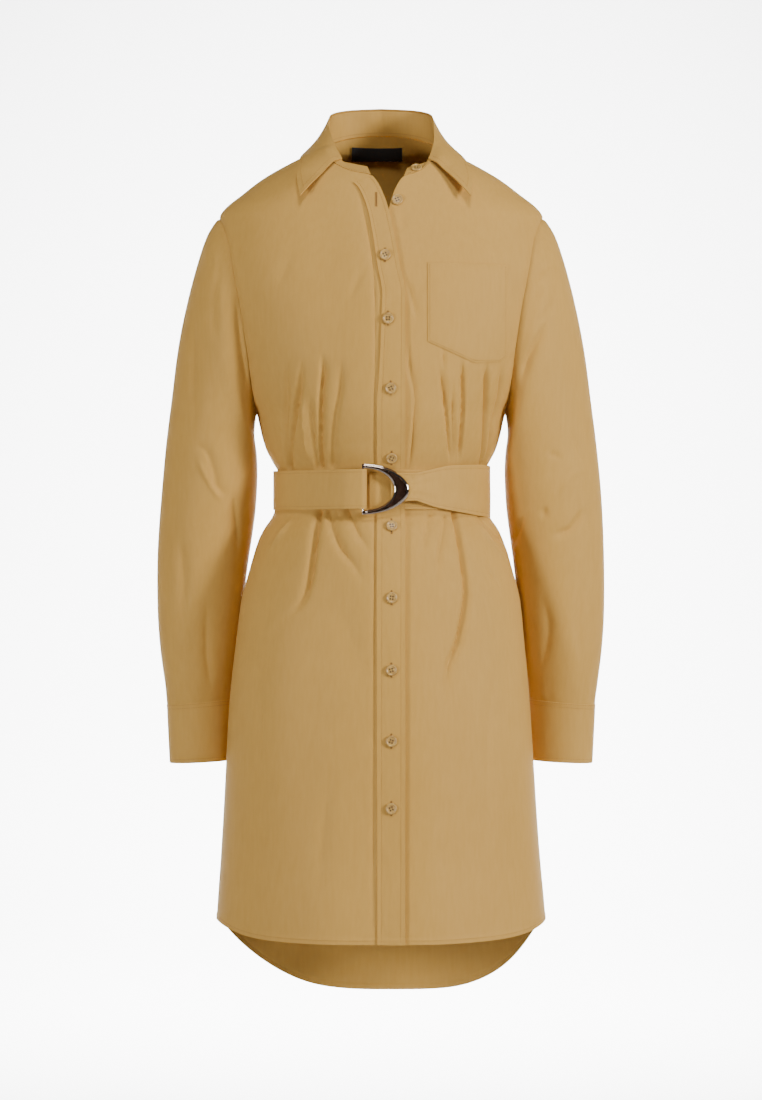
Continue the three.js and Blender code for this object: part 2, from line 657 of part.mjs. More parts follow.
function cuffSurface(side) {
  return (u, v) => {
    const at = -v;
    const i = THREE.MathUtils.clamp(Math.floor(at), 0, CUFF_RINGS.length - 2);
    const turn = side * u;
    const point = ringPoint(CUFF_RINGS[i], turn);
    point.lerp(ringPoint(CUFF_RINGS[i + 1], turn), at - i);
    point.x *= side;
    return point;
  };
}

function buildSleeve(name, side) {
  const rings = count(SLEEVE_RINGS.length).map((i) => -i).reverse();
  const options = { ringed: true, ...TUBE_STEPS };
  const turns = sleeveTurns(side);
  add("sleeve_" + name, wall(sleeveSurface(side), turns, rings, -WALL, 0, options), cloth);
  const heights = count(CUFF_RINGS.length - 1).map((i) => -i).reverse();
  add("cuff_" + name, wall(cuffSurface(side), turns, heights, -CUFF_WALL, 0, options), cloth);
}

// A corner of the panels' neck edge: 0 is the middle of the back, 5 the shoulder, 10 the front end.
function neckCorner(corner, side) {
  const shoulder = UPPER_ROWS - NECK_ROW;
  if (corner <= shoulder) {
    const around = corner / shoulder;
    const z = lerp(NECK_SIDE, NECK_BACK, Math.cos((around * Math.PI) / 2));
    const point = form(180 - 90 * around, z);
    point.x *= side;
    return point;
  }
  const row = FRONT_ROWS[UPPER_ROWS - (corner - shoulder)];
  return form(turnAt(side > 0 ? row.left : row.right, row.z), row.z);
}
const NECK_CORNERS = 2 * (UPPER_ROWS - NECK_ROW);

// The neck seam from the middle of the back, 0, to the front end, 1, along the panels' edges.
function neckSeam(at, side) {
  const corner = at * NECK_CORNERS;
  const i = Math.min(Math.floor(corner), NECK_CORNERS - 1);
  return neckCorner(i, side).lerp(neckCorner(i + 1, side), corner - i);
}

// The fold along the top of the stand.
function rollLine(at, side) {
  const place = Math.min(at, LEAF_END);
  const point = new THREE.Vector3(
    side * read(COLLAR, "at", "rollX", place) + leftShift(place, side),
    read(COLLAR, "at", "rollY", place),
    read(COLLAR, "at", "rollZ", place),
  );
  if (at <= LEAF_END) return point;
  const end = STAND_ENDS[side > 0 ? "left" : "right"];
  return point.lerp(new THREE.Vector3(end.x, end.y, end.z), (at - LEAF_END) / (1 - LEAF_END));
}

// The collar lies open a little to the left: the shift grows towards the front end.
function leftShift(at, side) {
  return side > 0 ? LEFT_SHIFT * step(0.6, LEAF_END, at) : 0;
}

// The collar's u runs from the left front end, -1, round the back to the right one, 1.
function standSurface(u, v) {
  const side = u < 0 ? 1 : -1;
  const at = Math.min(Math.abs(u), 1);
  const low = neckSeam(at, side);
  const high = rollLine(at, side);
  const rise = high.clone().sub(low);
  low.addScaledVector(rise.clone().normalize(), STAND_SEAM_GAP);
  return low.lerp(high, v);
}

function leafSurface(u, v) {
  const side = u < 0 ? 1 : -1;
  const at = Math.min(Math.abs(u), LEAF_END);
  const top = rollLine(at, side);
  const outward = new THREE.Vector3(top.x, top.y, 0).normalize();
  top.addScaledVector(outward, COLLAR_WALL * 0.5);
  top.z += lerp(LEAF_SEAM_GAP, LEAF_FRONT_GAP, step(0.5, LEAF_END, at));
  const edge = new THREE.Vector3(
    side * read(COLLAR, "at", "edgeX", at) + leftShift(at, side),
    read(COLLAR, "at", "edgeY", at),
    read(COLLAR, "at", "edgeZ", at),
  );
  const puff = read(COLLAR, "at", "puff", at);
  const middle = top.clone().lerp(edge, LEAF_BULGE_AT);
  const lean = new THREE.Vector3(middle.x, middle.y, LEAF_BULGE_RISE).normalize();
  middle.addScaledVector(lean, puff * 2);
  return new THREE.QuadraticBezierCurve3(edge, middle, top).getPoint(v);
}

function buildCollar() {
  const half = COLLAR_WALL / 2;
  const ends = spread(-1, 1, 2 * NECK_CORNERS);
  add("collar_stand", wall(standSurface, ends, [0, 0.5, 1], -half, half), cloth);
  const across = spread(-LEAF_END, LEAF_END, LEAF_COLUMNS);
  const leaf = wall(leafSurface, across, spread(0, 1, LEAF_ROWS), -half, half);
  add("collar_leaf", leaf, cloth);
}

// The left front's surface at a given x and height, for what is sewn on it.
function frontAt(x, z) {
  return cloths(turnAt(x, z), z);
}

function buildPocket() {
  const surface = (x, v) => frontAt(x, lerp(read(POCKET_BOTTOM, "x", "z", x), POCKET_TOP, v));
  const up = spread(0, 1, 6);
  add("pocket", wall(surface, POCKET_COLUMNS, up, POCKET_GAP, POCKET_GAP + POCKET_WALL), cloth);
}

// The waist's outline at the belt, a distance out from the form.
function waistPoint(turn, out) {
  const point = form(turn, WAIST);
  const ahead = form(turn + 0.5, WAIST).sub(form(turn - 0.5, WAIST));
  const normal = new THREE.Vector3(ahead.y, -ahead.x, 0).normalize();
  return point.addScaledVector(normal, out);
}

// The belt seen from above: from under the rings round the left side, the back and the right
// side to the rings again, where its end is folded round their bars.
function beltPath() {
  const path = spread(BELT_START, BELT_END, BELT_STATIONS).map((turn) => waistPoint(turn, BELT_LIFT));
  const placed = (row) => waistPoint(turnAt(row.x, WAIST), row.out);
  path.push(...LOOP_LEAD.map(placed));
  for (const angle of spread(90, -90, 8)) {
    const x = BAR_X + LOOP_RADIUS * Math.cos(radians(angle));
    const out = LOOP_MIDDLE + LOOP_RADIUS * Math.sin(radians(angle));
    path.push(placed({ x, out }));
  }
  path.push(...LOOP_RETURN.map(placed));
  return path;
}

function buildBelt() {
  const path = beltPath();
  const surface = (u, v) => {
    const i = THREE.MathUtils.clamp(Math.floor(u), 0, path.length - 2);
    const point = path[i].clone().lerp(path[i + 1], u - i);
    point.z = WAIST + BELT_HIGH * (v - 0.5);
    return point;
  };
  const half = BELT_WALL / 2;
  const stations = count(path.length - 1);
  const belt = wall(surface, stations, [0, 1], -half, half, { du: 0.4 });
  add("belt", belt, cloth);
  const tail = (turn, v) => {
    const point = waistPoint(turn, BELT_LIFT + read(TAIL, "turn", "lift", turn));
    point.z = lerp(read(TAIL, "turn", "low", turn), read(TAIL, "turn", "high", turn), v);
    return point;
  };
  add("belt_tail", wall(tail, TAIL_TURNS, [0, 0.5, 1], -half, half), cloth);
}

// A D ring: a straight bar and a curve that is widest opposite it.
function ringShape() {
  const outline = new THREE.Shape();
  const bar = BAR_X - RING_BAR / 2;
  const arc = (reach, high, x) =>
    spread(-90, 90, 16).map(
      (angle) =>
        new THREE.Vector2(
          x + reach * Math.cos(radians(angle)),
          high * Math.sin(radians(angle)),
        ),
    );
  outline.setFromPoints(arc(RING_REACH, RING_HALF_HIGH, bar));
  const window = new THREE.Path();
  window.setFromPoints(arc(RING_WINDOW_REACH - RING_BAR, RING_WINDOW_HALF_HIGH, bar + RING_BAR));
  outline.holes.push(window);
  return outline;
}

function buildRing(name, out, rise) {
  const options = { depth: RING_THICK, bevelEnabled: false };
  const geometry = new THREE.ExtrudeGeometry(ringShape(), options);
  const ring = add(name, geometry, steel);
  const plane = form(0, WAIST).y - out;
  ring.rotation.x = Math.PI / 2;
  ring.position.set(0, plane + RING_THICK / 2, RING_MIDDLE + rise);
}

// A button: a low disc with a raised rim.
function buttonGeometry() {
  const profile = [
    new THREE.Vector2(0, 0),
    new THREE.Vector2(BUTTON_RADIUS * 0.9, 0),
    new THREE.Vector2(BUTTON_RADIUS, BUTTON_THICK * 0.55),
    new THREE.Vector2(BUTTON_RADIUS * 0.82, BUTTON_THICK),
    new THREE.Vector2(BUTTON_RADIUS * 0.6, BUTTON_THICK * 0.68),
    new THREE.Vector2(0, BUTTON_THICK * 0.68),
  ];
  const geometry = new THREE.LatheGeometry(profile, BUTTON_SIDES);
  return geometry.rotateX(Math.PI / 2);
}

// A button whose back lies a little off a surface at u and v.
function seatButton(name, surface, u, v, lift, steps = {}) {
  const { du = 1e-3, dv = 1e-3 } = steps;
  const seat = moved(surface, u, v, lift + GAP, du, dv);
  const normal = moved(surface, u, v, lift + GAP + 1, du, dv).sub(seat).normalize();
  const button = add(name, buttonGeometry(), horn);
  button.position.copy(seat);
  button.quaternion.setFromUnitVectors(new THREE.Vector3(0, 0, 1), normal);
}

function buildButtons() {
  for (const { name, x, z, clear } of BUTTONS)
    seatButton(name, frontAt, x, z, LAP + GAP + BAND_WALL + clear);
  seatButton(OPEN_BUTTON.name, frontAt, OPEN_BUTTON.x, OPEN_BUTTON.z, OPEN_BUTTON.clear);
  const out = COLLAR_WALL / 2 + STAND_BUTTON_CLEAR;
  seatButton("button_collar", standSurface, STAND_BUTTON_AT, 0.5, out);
  for (const side of [-1, 1]) {
    const name = "button_cuff_" + (side > 0 ? "left" : "right");
    seatButton(name, cuffSurface(side), side * CUFF_BUTTON_TURN, -1, 0, TUBE_STEPS);
  }
}

// The label lies on the inner side of the back, just under the neck seam.
function buildLabel() {
  const surface = (x, z) => form(turnAt(-x, z, -1), z);
  const near = -WALL - LABEL_GAP;
  const across = spread(-LABEL_RIGHT, -LABEL_LEFT, 6);
  const label = wall(surface, across, [LABEL_LOW, LABEL_HIGH], near - LABEL_WALL, near);
  add("label", label, black);
}

buildFront("front_right", -1);
buildFront("front_left", 1);
buildBack();
buildBand();
buildPocket();
buildSleeve("right", -1);
buildSleeve("left", 1);
buildCollar();
buildBelt();
buildRing("ring_back", RING_BACK_OUT, RING_BACK_RISE);
buildRing("ring_front", RING_FRONT_OUT, 0);
buildButtons();
buildLabel();

export default dress;
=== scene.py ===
# A long-sleeved shirt dress in tan cotton with a ring belt, filled out as if worn.
# The tables are in millimetres in the part's frame: +Z up, the front faces -Y, +X is the wearer's left.
# Folds that are seen from the front are placed by picture points, on a picture of 762 x 1100.
import math

import bpy
import numpy as np
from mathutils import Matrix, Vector
from mathutils.geometry import delaunay_2d_cdt


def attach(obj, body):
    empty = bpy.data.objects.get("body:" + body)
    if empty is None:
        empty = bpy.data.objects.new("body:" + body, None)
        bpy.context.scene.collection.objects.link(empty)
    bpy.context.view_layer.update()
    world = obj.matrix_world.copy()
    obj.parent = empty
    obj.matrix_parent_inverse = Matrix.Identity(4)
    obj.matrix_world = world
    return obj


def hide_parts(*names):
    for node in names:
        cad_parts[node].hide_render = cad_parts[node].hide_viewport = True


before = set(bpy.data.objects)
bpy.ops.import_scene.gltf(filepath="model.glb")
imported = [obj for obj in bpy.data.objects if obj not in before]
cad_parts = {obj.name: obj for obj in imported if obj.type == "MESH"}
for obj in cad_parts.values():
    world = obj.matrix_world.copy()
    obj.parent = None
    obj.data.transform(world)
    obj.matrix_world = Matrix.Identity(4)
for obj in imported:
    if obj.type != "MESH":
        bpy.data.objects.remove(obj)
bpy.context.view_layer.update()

MM = 0.001

# Camera: level, four metres in front of the body's axis
CAMERA_AWAY = 4.0
CAMERA_HIGH = -0.462
VIEW_HIGH = 1.32
PICTURE_MIDDLE_X = 380.5
PICTURE_MIDDLE_Y = 550
PIXEL = 1.2  # millimetres for a pixel at the body's axis

# Cloth
WALL = 1.2
GAP = 0.3
SEAM_TURN = 0.05  # degrees from a side seam to each panel's edge
LAP = 2.3
LAP_START = 0.2
LAP_END = 0.42
BAND_WALL = 1.2
BAND_TOP = LAP + GAP + BAND_WALL  # the band's outer face above the left front
CUFF_WALL = 2.0
COLLAR_WALL = 1.6
LAID_CLEAR = 0.1  # under a piece that lies on another

# Waist and belt
WAIST = -391.0
BELT_HIGH = 46.0
BELT_WALL = 1.5
BELT_LIFT = 1.6
BELT_CINCH = 2.0  # how far the belt draws the cloth in

# Upper body
UNDERARM = -298.0
ARMHOLE_MIDDLE = -181.0
ARMHOLE_HALF_HIGH = 117.0
ARMHOLE_HALF_DEEP = 60.0
NECK_SIDE = 20.0
NECK_BACK = 42.0
SHOULDER_TIP = -64.0

# Hems
SIDE_HEM = -903.0
FRONT_HEM = -920.0
BACK_HEM = -1007.0
HEM_BLEND_TOP = -640.0
HEM_ROWS = 4
HEM_TURNING = 7.0  # height of the narrow hem
HEM_THICK = 0.5


def table(columns, rows):
    """A table with named columns."""
    values = np.array(rows, float)
    return {name: values[:, i] for i, name in enumerate(columns.split())}


# The form: half width, depth of the front and depth of the back at each height.
SECTIONS = table("z half front back", [
    (-1010, 203, 137, 136), (-900, 197, 136, 135), (-828, 191, 134, 134), (-720, 184, 132, 133),
    (-642, 179, 130, 131), (-570, 172, 126, 127), (-522, 167, 122, 122), (-486, 158, 117, 115),
    (-450, 147, 110, 105), (-434, 139, 104, 97), (-423, 132.5, 98, 93), (-414, 129.5, 96.5, 91),
    (-368, 126, 96, 90), (-360, 130, 98, 91.5), (-350, 134.5, 101, 93), (-338, 139, 105, 94.5),
    (-324, 143, 111, 96), (-298, 149, 119, 99), (-282, 157, 121, 100), (-239, 173, 124, 103),
    (-181, 190, 122, 106), (-122, 199, 112, 104), (-90, 197, 101, 100), (-64, 194, 92, 96),
    (-54, 188, 89, 94), (-36, 166, 83, 90), (-18, 142, 76, 85), (0, 111, 66, 79),
    (10, 91, 58, 75), (20, 68, 50, 70), (42, 60, 30, 64),
])

# The fronts above the underarm: x of both free edges, their height, and degrees round the armhole.
FRONT_ROWS = table("row z right left arm", [
    (0, -298, 28, -4, 0), (1, -245, 28, -4, 30), (2, -200, 28, -4, 60), (3, -165, 28, -4, 90),
    (4, -130, 21.5, 2, 104), (5, -90, 14.5, 5.5, 118), (6, -52, 5.5, 11.5, 131), (7, -22, -12, 27, 143),
    (8, -17, -33, 42, 153), (9, -8, -52, 54, 161), (10, 2, -63, 63, 168),
    (11, 12.5, -68.5, 68.5, 174), (12, 20, -68, 68, 180),
])
# The button band narrows towards the neck.
BAND_WIDTHS = table("z wide", [(-1010, 32), (-300, 32), (-230, 29), (-150, 26), (-60, 23), (-20, 20),
                               (0, 20)])
UPPER_ROWS = 12
NECK_ROW = 7
ROW_HEIGHTS = [-860, -790, -715, -640, -585, -540, -505, -475, -450, -430, -414, -391, -368,
               -352, -332, -315, UNDERARM]
LOWER_ROWS = len(ROW_HEIGHTS)
BAND_SHARE = 15.5 / 104

# The sleeve below its seam: outer and inner point of each ring, half depth and middle.
SLEEVE_RINGS = table("outX outZ inX inZ deep y", [
    (209, -86, 152, -322, 62, 2), (223, -127, 149.5, -345, 62, 5), (235, -174, 148.5, -364, 60, 9),
    (245, -225, 149, -386, 58, 13), (253, -285, 151, -414, 56, 17), (260, -340, 155, -443, 54, 21),
    (265.5, -395, 159.5, -473, 52, 25), (269, -450, 163.5, -506, 50, 29),
    (270.5, -500, 166.5, -538, 48, 33), (270, -545, 169.5, -567, 46, 37),
    (267, -585, 172.5, -596, 44, 40), (262.5, -622, 175.5, -622, 42, 43),
    (259.5, -650, 178, -643, 39.5, 45),
])
RINGS = 13
SLEEVE_SEAM_SHIFT = 0.7
SLEEVE_TUCK = 0.6  # how far the sleeve's edge goes in under the panels
SLEEVE_UNDER = 1.0  # how far it goes in under them sideways
CUFF_RINGS = table("at outX outZ inX inZ deep y", [
    (0, 260.0, -648.5, 177.6, -641.5, 40.0, 45), (1, 258.2, -686, 178.6, -680, 38.6, 45.5),
    (2, 256.5, -720, 179.5, -716, 37.6, 46),
])

# The collar from the middle of the back to its front end: the fold and the leaf's outer edge.
COLLAR = table("at rollX rollY rollZ edgeX edgeY edgeZ puff", [
    (0.0, 0, 62, 73, 0, 77, 30, 4), (0.25, 37, 52, 70, 45, 68, 28, 3), (0.5, 60, 22, 60, 84, 32, 18, -1),
    (0.62, 62, 2, 47, 92, 2, 14, -1.5), (0.72, 58.5, -19, 30, 96, -36, 2, 0),
    (0.8, 53, -39, 13, 99, -64.5, -22, 3), (0.88, 45.5, -56, -3, 95, -88, -46, 4),
])
LEAF_END = 0.88
SHOULDER_CLEAR = 1.6  # from the form to the leaf, at the shoulder and at its tips
TIP_CLEAR = 5.5
LEFT_SHIFT = 10.0  # the left tip lies this much further out
STAND_END_RIGHT = (-16.0, -65.0, -10.0)
STAND_END_LEFT = (31.0, -65.0, -11.5)

# The pocket on the left front
POCKET_LEFT = 54.0
POCKET_RIGHT = 148.0
POCKET_TOP = -126.0
POCKET_BOTTOM = table("x z", [(54, -219), (109, -243), (139, -241), (148, -232)])

# The belt's tail, and the belt's end folded round the rings' bar
TAIL = table("turn low high lift", [
    (7, -406, -372, 8.5), (17, -404, -372, 10.9), (22, -407, -370, 7.6), (28, -411, -367, 4.8),
    (38, -415, -363, 3.0), (62, -421, -361, 2.3), (90, -424, -362, 2.0), (108, -420, -366, 2.0),
    (122, -415, -370, 2.0),
])
BAR_X = -21.0
LOOP_MIDDLE = 10.1
LOOP_RADIUS = 4.7
LOOP_LEAD = table("x out", [(-98, 1.6), (-78, 3.6), (-62, 6.8), (-48, 10.2), (-36, 13.2), (-21, 14.8)])
LOOP_BACK = 5.7

# The D rings
RING_HALF_HIGH = 29.0
RING_REACH = 55.0
RING_WINDOW_REACH = 37.5
RING_WINDOW_HALF_HIGH = 25.2
RING_BAR = 2.6
RING_MIDDLE = -391.8
WAIST_FRONT = -96.0
RING_PLACES = [("front_ring_metal", WAIST_FRONT - 11.2, 0.0, "ring_front"),
               ("back_ring_metal", WAIST_FRONT - 7.0, 1.6, "ring_back")]

# The label, left and right end, and height
LABEL_LEFT, LABEL_RIGHT = -27, 37
LABEL_LOW, LABEL_HIGH = 14, 28.5
LABEL_IN = 3.6

# Buttons
BUTTON_RADIUS = 6.7
BUTTON_HIGH = 2.5
HOLE_APART = 2.1  # from a button's middle to a hole's
HOLE_SHIFT = HOLE_APART / 1.414  # the same along x and along y
HOLE_RADIUS = 1.1
BUTTON_LINE = 12.2
BUTTONHOLE_HALF_LONG = 8.4
BUTTONHOLE_HALF_WIDE = 0.85
OPEN_BUTTONHOLE = (-5.5, -52.0)
TOP_BUTTON = (19.0, -51.0)
COLLAR_BUTTON_AT = -0.93
CUFF_BUTTON_TURN = 235.0
CUFF_END_TURN = 218.0  # where the cuff's outer end lies
BAND_BUTTONS = [
    ("button_2", 4.6, -119.0), ("button_3", 8.0, -193.0), ("button_4", 11.0, -273.5),
    ("button_5", BUTTON_LINE, -353.0), ("button_6", BUTTON_LINE, -436.0),
    ("button_7", BUTTON_LINE, -518.0), ("button_8", BUTTON_LINE, -602.0),
    ("button_9", BUTTON_LINE, -684.0), ("button_10", BUTTON_LINE, -762.0),
]

# Folds of the front in picture points, drawn downwards: depth (a ridge is less than 0), width on the
# left and on the right, how much of the length fades at the top and at the bottom.
FRONT_FOLDS = [
    (3.2, 6, 8, 0.4, 0.03, [(288, 353), (283.5, 402), (285, 469)]),
    (5.0, 4.5, 6, 0.35, 0.03, [(301, 355), (299, 378), (292, 420), (287, 447), (285, 469)]),
    (-2.2, 5, 4.5, 0.3, 0.1, [(301, 394), (304, 438), (308.4, 469.5)]),
    (2.8, 4, 5, 0.4, 0.03, [(308, 390), (312, 438), (315, 469.5)]),
    (5.0, 2.8, 7, 0.2, 0.03, [(320, 353), (321, 370), (319, 400), (318, 469)]),
    (2.8, 7, 6, 0.3, 0.05, [(341, 353), (339, 390), (334, 420), (330.7, 469)]),
    (4.5, 5, 4.5, 0.3, 0.2, [(438, 358), (443, 383), (448, 420), (453.7, 467)]),
    (1.8, 3, 3, 0.3, 0.4, [(443.7, 348), (443.7, 372)]),
    (3.4, 4, 3.5, 0.4, 0.25, [(453.6, 376), (453.6, 420), (457, 464)]),
    (4.6, 5, 3.5, 0.2, 0.2, [(463, 356), (464, 402), (462.5, 434), (460.7, 466)]),
    (6.0, 6, 4.5, 0.2, 0.03, [(487.5, 360), (487, 411), (485.7, 447), (484.4, 466)]),
    (4.0, 5, 6, 0.2, 0.03, [(501.8, 362), (501, 389), (494, 420), (491, 447), (486.6, 466)]),
    (-3.0, 7, 6, 0.05, 0.5, [(299, 506), (280, 532), (260, 560)]),
    (6.0, 5.5, 6.5, 0.03, 0.5, [(316.4, 506), (313, 541), (307, 583), (298, 605), (277, 622)]),
    (3.8, 4.5, 8, 0.03, 0.5, [(324, 508), (338, 546), (353, 566), (368, 590)]),
    (1.8, 3, 3, 0.03, 0.5, [(331, 506), (341, 525)]),
    (3.0, 4, 7, 0.03, 0.5, [(344.6, 506), (358, 536), (374, 557)]),
    (3.0, 38, 60, 0.5, 0.5, [(312, 560), (338, 606), (356, 657), (372, 720)]),
    (5.5, 5.5, 7, 0.03, 0.4, [(455.7, 508), (459, 533), (464, 566), (466.5, 599), (459, 641),
                              (449, 668), (441, 718)]),
    (2.6, 6, 6, 0.03, 0.5, [(432.5, 512), (419, 560)]),
    (3.0, 5, 6, 0.03, 0.5, [(447, 514), (434, 584)]),
    (-3.0, 6, 6, 0.03, 0.4, [(472, 514), (495.5, 545), (515, 568)]),
    (4.0, 6, 7, 0.03, 0.4, [(480, 512), (497, 532), (520, 552)]),
    (2.0, 4, 4, 0.4, 0.4, [(485, 564), (502, 588)]),
    (2.4, 3, 5, 0.3, 0.2, [(408, 336), (409, 369), (413, 385), (415, 402), (413, 429), (409, 474)]),
    (1.8, 3, 5, 0.4, 0.4, [(405, 276), (412, 300), (418, 326)]),
    (1.3, 6, 6, 0.5, 0.5, [(366, 260), (356, 284), (344, 308)]),
    (1.2, 7, 9, 0.5, 0.5, [(401, 210), (402, 232)]),
    (1.0, 10, 12, 0.5, 0.5, [(300, 230), (285, 262), (272, 300)]),
    (1.1, 12, 12, 0.5, 0.5, [(455, 205), (480, 232), (512, 246)]),
    (1.4, 12, 14, 0.5, 0.5, [(256, 640), (262, 720), (258, 800)]),
    (1.6, 14, 12, 0.5, 0.5, [(500, 640), (488, 740), (494, 850)]),
    (1.3, 12, 12, 0.5, 0.5, [(330, 760), (322, 840), (318, 912)]),
    (1.2, 10, 12, 0.5, 0.5, [(440, 790), (446, 860), (443, 920)]),
    (1.1, 3.5, 2.0, 0.03, 0.01, [(358, 192), (366, 225), (372, 262), (374.5, 300), (375, 400), (375, 470),
                                 (375, 600), (374, 760), (371.5, 930)]),
]

# Folds of the back in millimetres: x as seen from the front, and height.
BACK_FOLDS = [
    (3.5, 6, 7, 0.4, 0.03, [(-96, -288), (-92, -340), (-86, -384)]),
    (4.6, 5, 6, 0.4, 0.03, [(-48, -258), (-49, -320), (-43, -384)]),
    (-2.0, 5, 5, 0.4, 0.1, [(-60, -300), (-62, -345), (-58, -372)]),
    (3.2, 5, 6, 0.4, 0.03, [(-8, -272), (-4, -330), (-3, -384)]),
    (2.0, 4, 4, 0.4, 0.1, [(16, -300), (14, -340), (12, -384)]),
    (4.8, 6, 4.5, 0.4, 0.03, [(41, -252), (38, -320), (36, -384)]),
    (3.6, 6, 6, 0.4, 0.03, [(88, -290), (86, -340), (80, -384)]),
    (5.0, 7, 8, 0.03, 0.5, [(-80, -398), (-90, -470), (-102, -565)]),
    (4.2, 8, 9, 0.03, 0.5, [(-34, -398), (-29, -490), (-34, -625)]),
    (2.4, 5, 5, 0.03, 0.5, [(-12, -398), (-4, -450), (4, -495)]),
    (4.8, 9, 7, 0.03, 0.5, [(30, -398), (36, -480), (37, -590)]),
    (2.6, 5, 6, 0.03, 0.5, [(56, -398), (62, -440), (74, -490)]),
    (4.2, 8, 8, 0.03, 0.5, [(80, -398), (86, -500), (98, -645)]),
    (-2.4, 8, 8, 0.2, 0.5, [(10, -405), (8, -480), (2, -560)]),
    (2.2, 18, 20, 0.5, 0.4, [(-88, -640), (-84, -800), (-92, -960)]),
    (2.4, 20, 18, 0.5, 0.4, [(14, -660), (20, -820), (16, -1000)]),
    (2.0, 18, 18, 0.5, 0.4, [(104, -650), (98, -800), (102, -950)]),
    (1.4, 12, 14, 0.5, 0.5, [(-120, -110), (-86, -170), (-70, -240)]),
    (1.4, 14, 12, 0.5, 0.5, [(118, -105), (90, -160), (66, -236)]),
    (1.0, 10, 12, 0.5, 0.5, [(-30, 10), (-12, -30), (-6, -90)]),
]

# Folds of the sleeves in picture points, on the front half of each.
RIGHT_SLEEVE_FOLDS = [
    (2.6, 7, 7, 0.4, 0.4, [(194, 300), (192, 370), (193, 432)]),
    (1.4, 4, 4, 0.4, 0.4, [(209, 250), (212, 268)]),
    (4.2, 7, 6, 0.3, 0.3, [(236, 290), (241, 345), (250, 404)]),
    (2.2, 5, 7, 0.3, 0.3, [(190, 446), (205, 451), (213, 473), (216, 486), (230, 500)]),
    (-1.8, 4, 4, 0.3, 0.3, [(196, 456), (208, 482), (222, 504)]),
    (3.4, 5, 5, 0.3, 0.4, [(232, 492), (234.6, 529), (235.4, 558)]),
    (2.4, 9, 9, 0.4, 0.4, [(176, 520), (182, 580), (178, 640)]),
    (1.8, 6, 8, 0.4, 0.3, [(206, 590), (204, 650), (210, 700)]),
    (2.4, 8, 8, 0.4, 0.4, [(222, 250), (214, 300), (216, 350)]),
]
LEFT_SLEEVE_FOLDS = [
    (2.4, 4, 4, 0.3, 0.3, [(556, 258), (542, 270), (529.5, 279)]),
    (1.8, 3, 3, 0.3, 0.3, [(544, 291), (529.5, 297)]),
    (2.4, 4, 5, 0.3, 0.3, [(550.5, 282), (556, 289), (548, 309), (529.5, 326)]),
    (4.6, 5, 7, 0.3, 0.3, [(549, 318), (535, 343), (527, 360), (519, 386)]),
    (2.4, 5, 5, 0.4, 0.4, [(570, 428), (587, 466)]),
    (2.4, 4, 4, 0.4, 0.4, [(545, 452), (564, 458)]),
    (-1.2, 5, 6, 0.3, 0.3, [(597, 470), (572, 475), (558, 502)]),
    (3.6, 5, 6, 0.3, 0.3, [(587, 505), (572, 527), (550, 537)]),
    (2.6, 5, 5, 0.4, 0.4, [(544, 506), (544, 520)]),
    (2.6, 5, 5, 0.3, 0.3, [(524, 514), (514, 548)]),
    (2.0, 8, 9, 0.4, 0.4, [(541, 590), (549, 630), (540, 680)]),
    (1.8, 9, 9, 0.4, 0.4, [(585, 560), (580, 620), (584, 680)]),
    (1.8, 9, 9, 0.4, 0.4, [(566, 300), (574, 360), (570, 410)]),
]
# Creases of both sleeves' back half in millimetres, by distance out from the body's axis and height.
SLEEVE_BACK_FOLDS = [
    (3.0, 6, 7, 0.3, 0.3, [(196, -120), (186, -180), (176, -250)]),
    (2.6, 7, 7, 0.4, 0.4, [(232, -190), (236, -260), (234, -330)]),
    (3.6, 5, 6, 0.3, 0.3, [(246, -352), (226, -372), (202, -400)]),
    (3.0, 5, 5, 0.3, 0.3, [(254, -400), (234, -414), (214, -438)]),
    (-1.6, 5, 5, 0.3, 0.3, [(252, -382), (230, -396), (206, -420)]),
    (2.4, 6, 8, 0.4, 0.4, [(220, -470), (214, -540), (220, -600)]),
    (2.6, 5, 5, 0.3, 0.05, [(238, -596), (240, -622), (242, -648)]),
    (2.2, 4, 5, 0.3, 0.05, [(226, -602), (227, -625), (228, -647)]),
]
# Folds of the belt's tail in picture points
TAIL_FOLDS = [
    (1.3, 2, 3, 0.1, 0.6, [(409, 480), (418, 478), (432, 472)]),
    (1.0, 2, 3, 0.1, 0.6, [(409, 486), (424, 484), (444, 479)]),
    (1.2, 3, 2, 0.1, 0.6, [(409, 494), (424, 497), (446, 503)]),
    (1.4, 5, 5, 0.3, 0.3, [(455, 466), (461, 480), (473, 492), (462, 506)]),
    (0.9, 4, 5, 0.5, 0.5, [(430, 488), (450, 491), (480, 492)]),
]


def step(low, high, value):
    """A soft step from 0 to 1 between two values."""
    t = np.clip((np.asarray(value, float) - low) / (high - low), 0, 1)
    return t * t * (3 - 2 * t)


def lerp(a, b, t):
    return a + (b - a) * t


def bell(value, middle, width):
    """A soft rise to 1 at one value, and to 0 away from it."""
    return np.exp(-(((value - middle) / width) ** 2))


def unit(vector):
    """Vectors brought to the length 1."""
    return vector / np.linalg.norm(vector, axis=-1, keepdims=True)


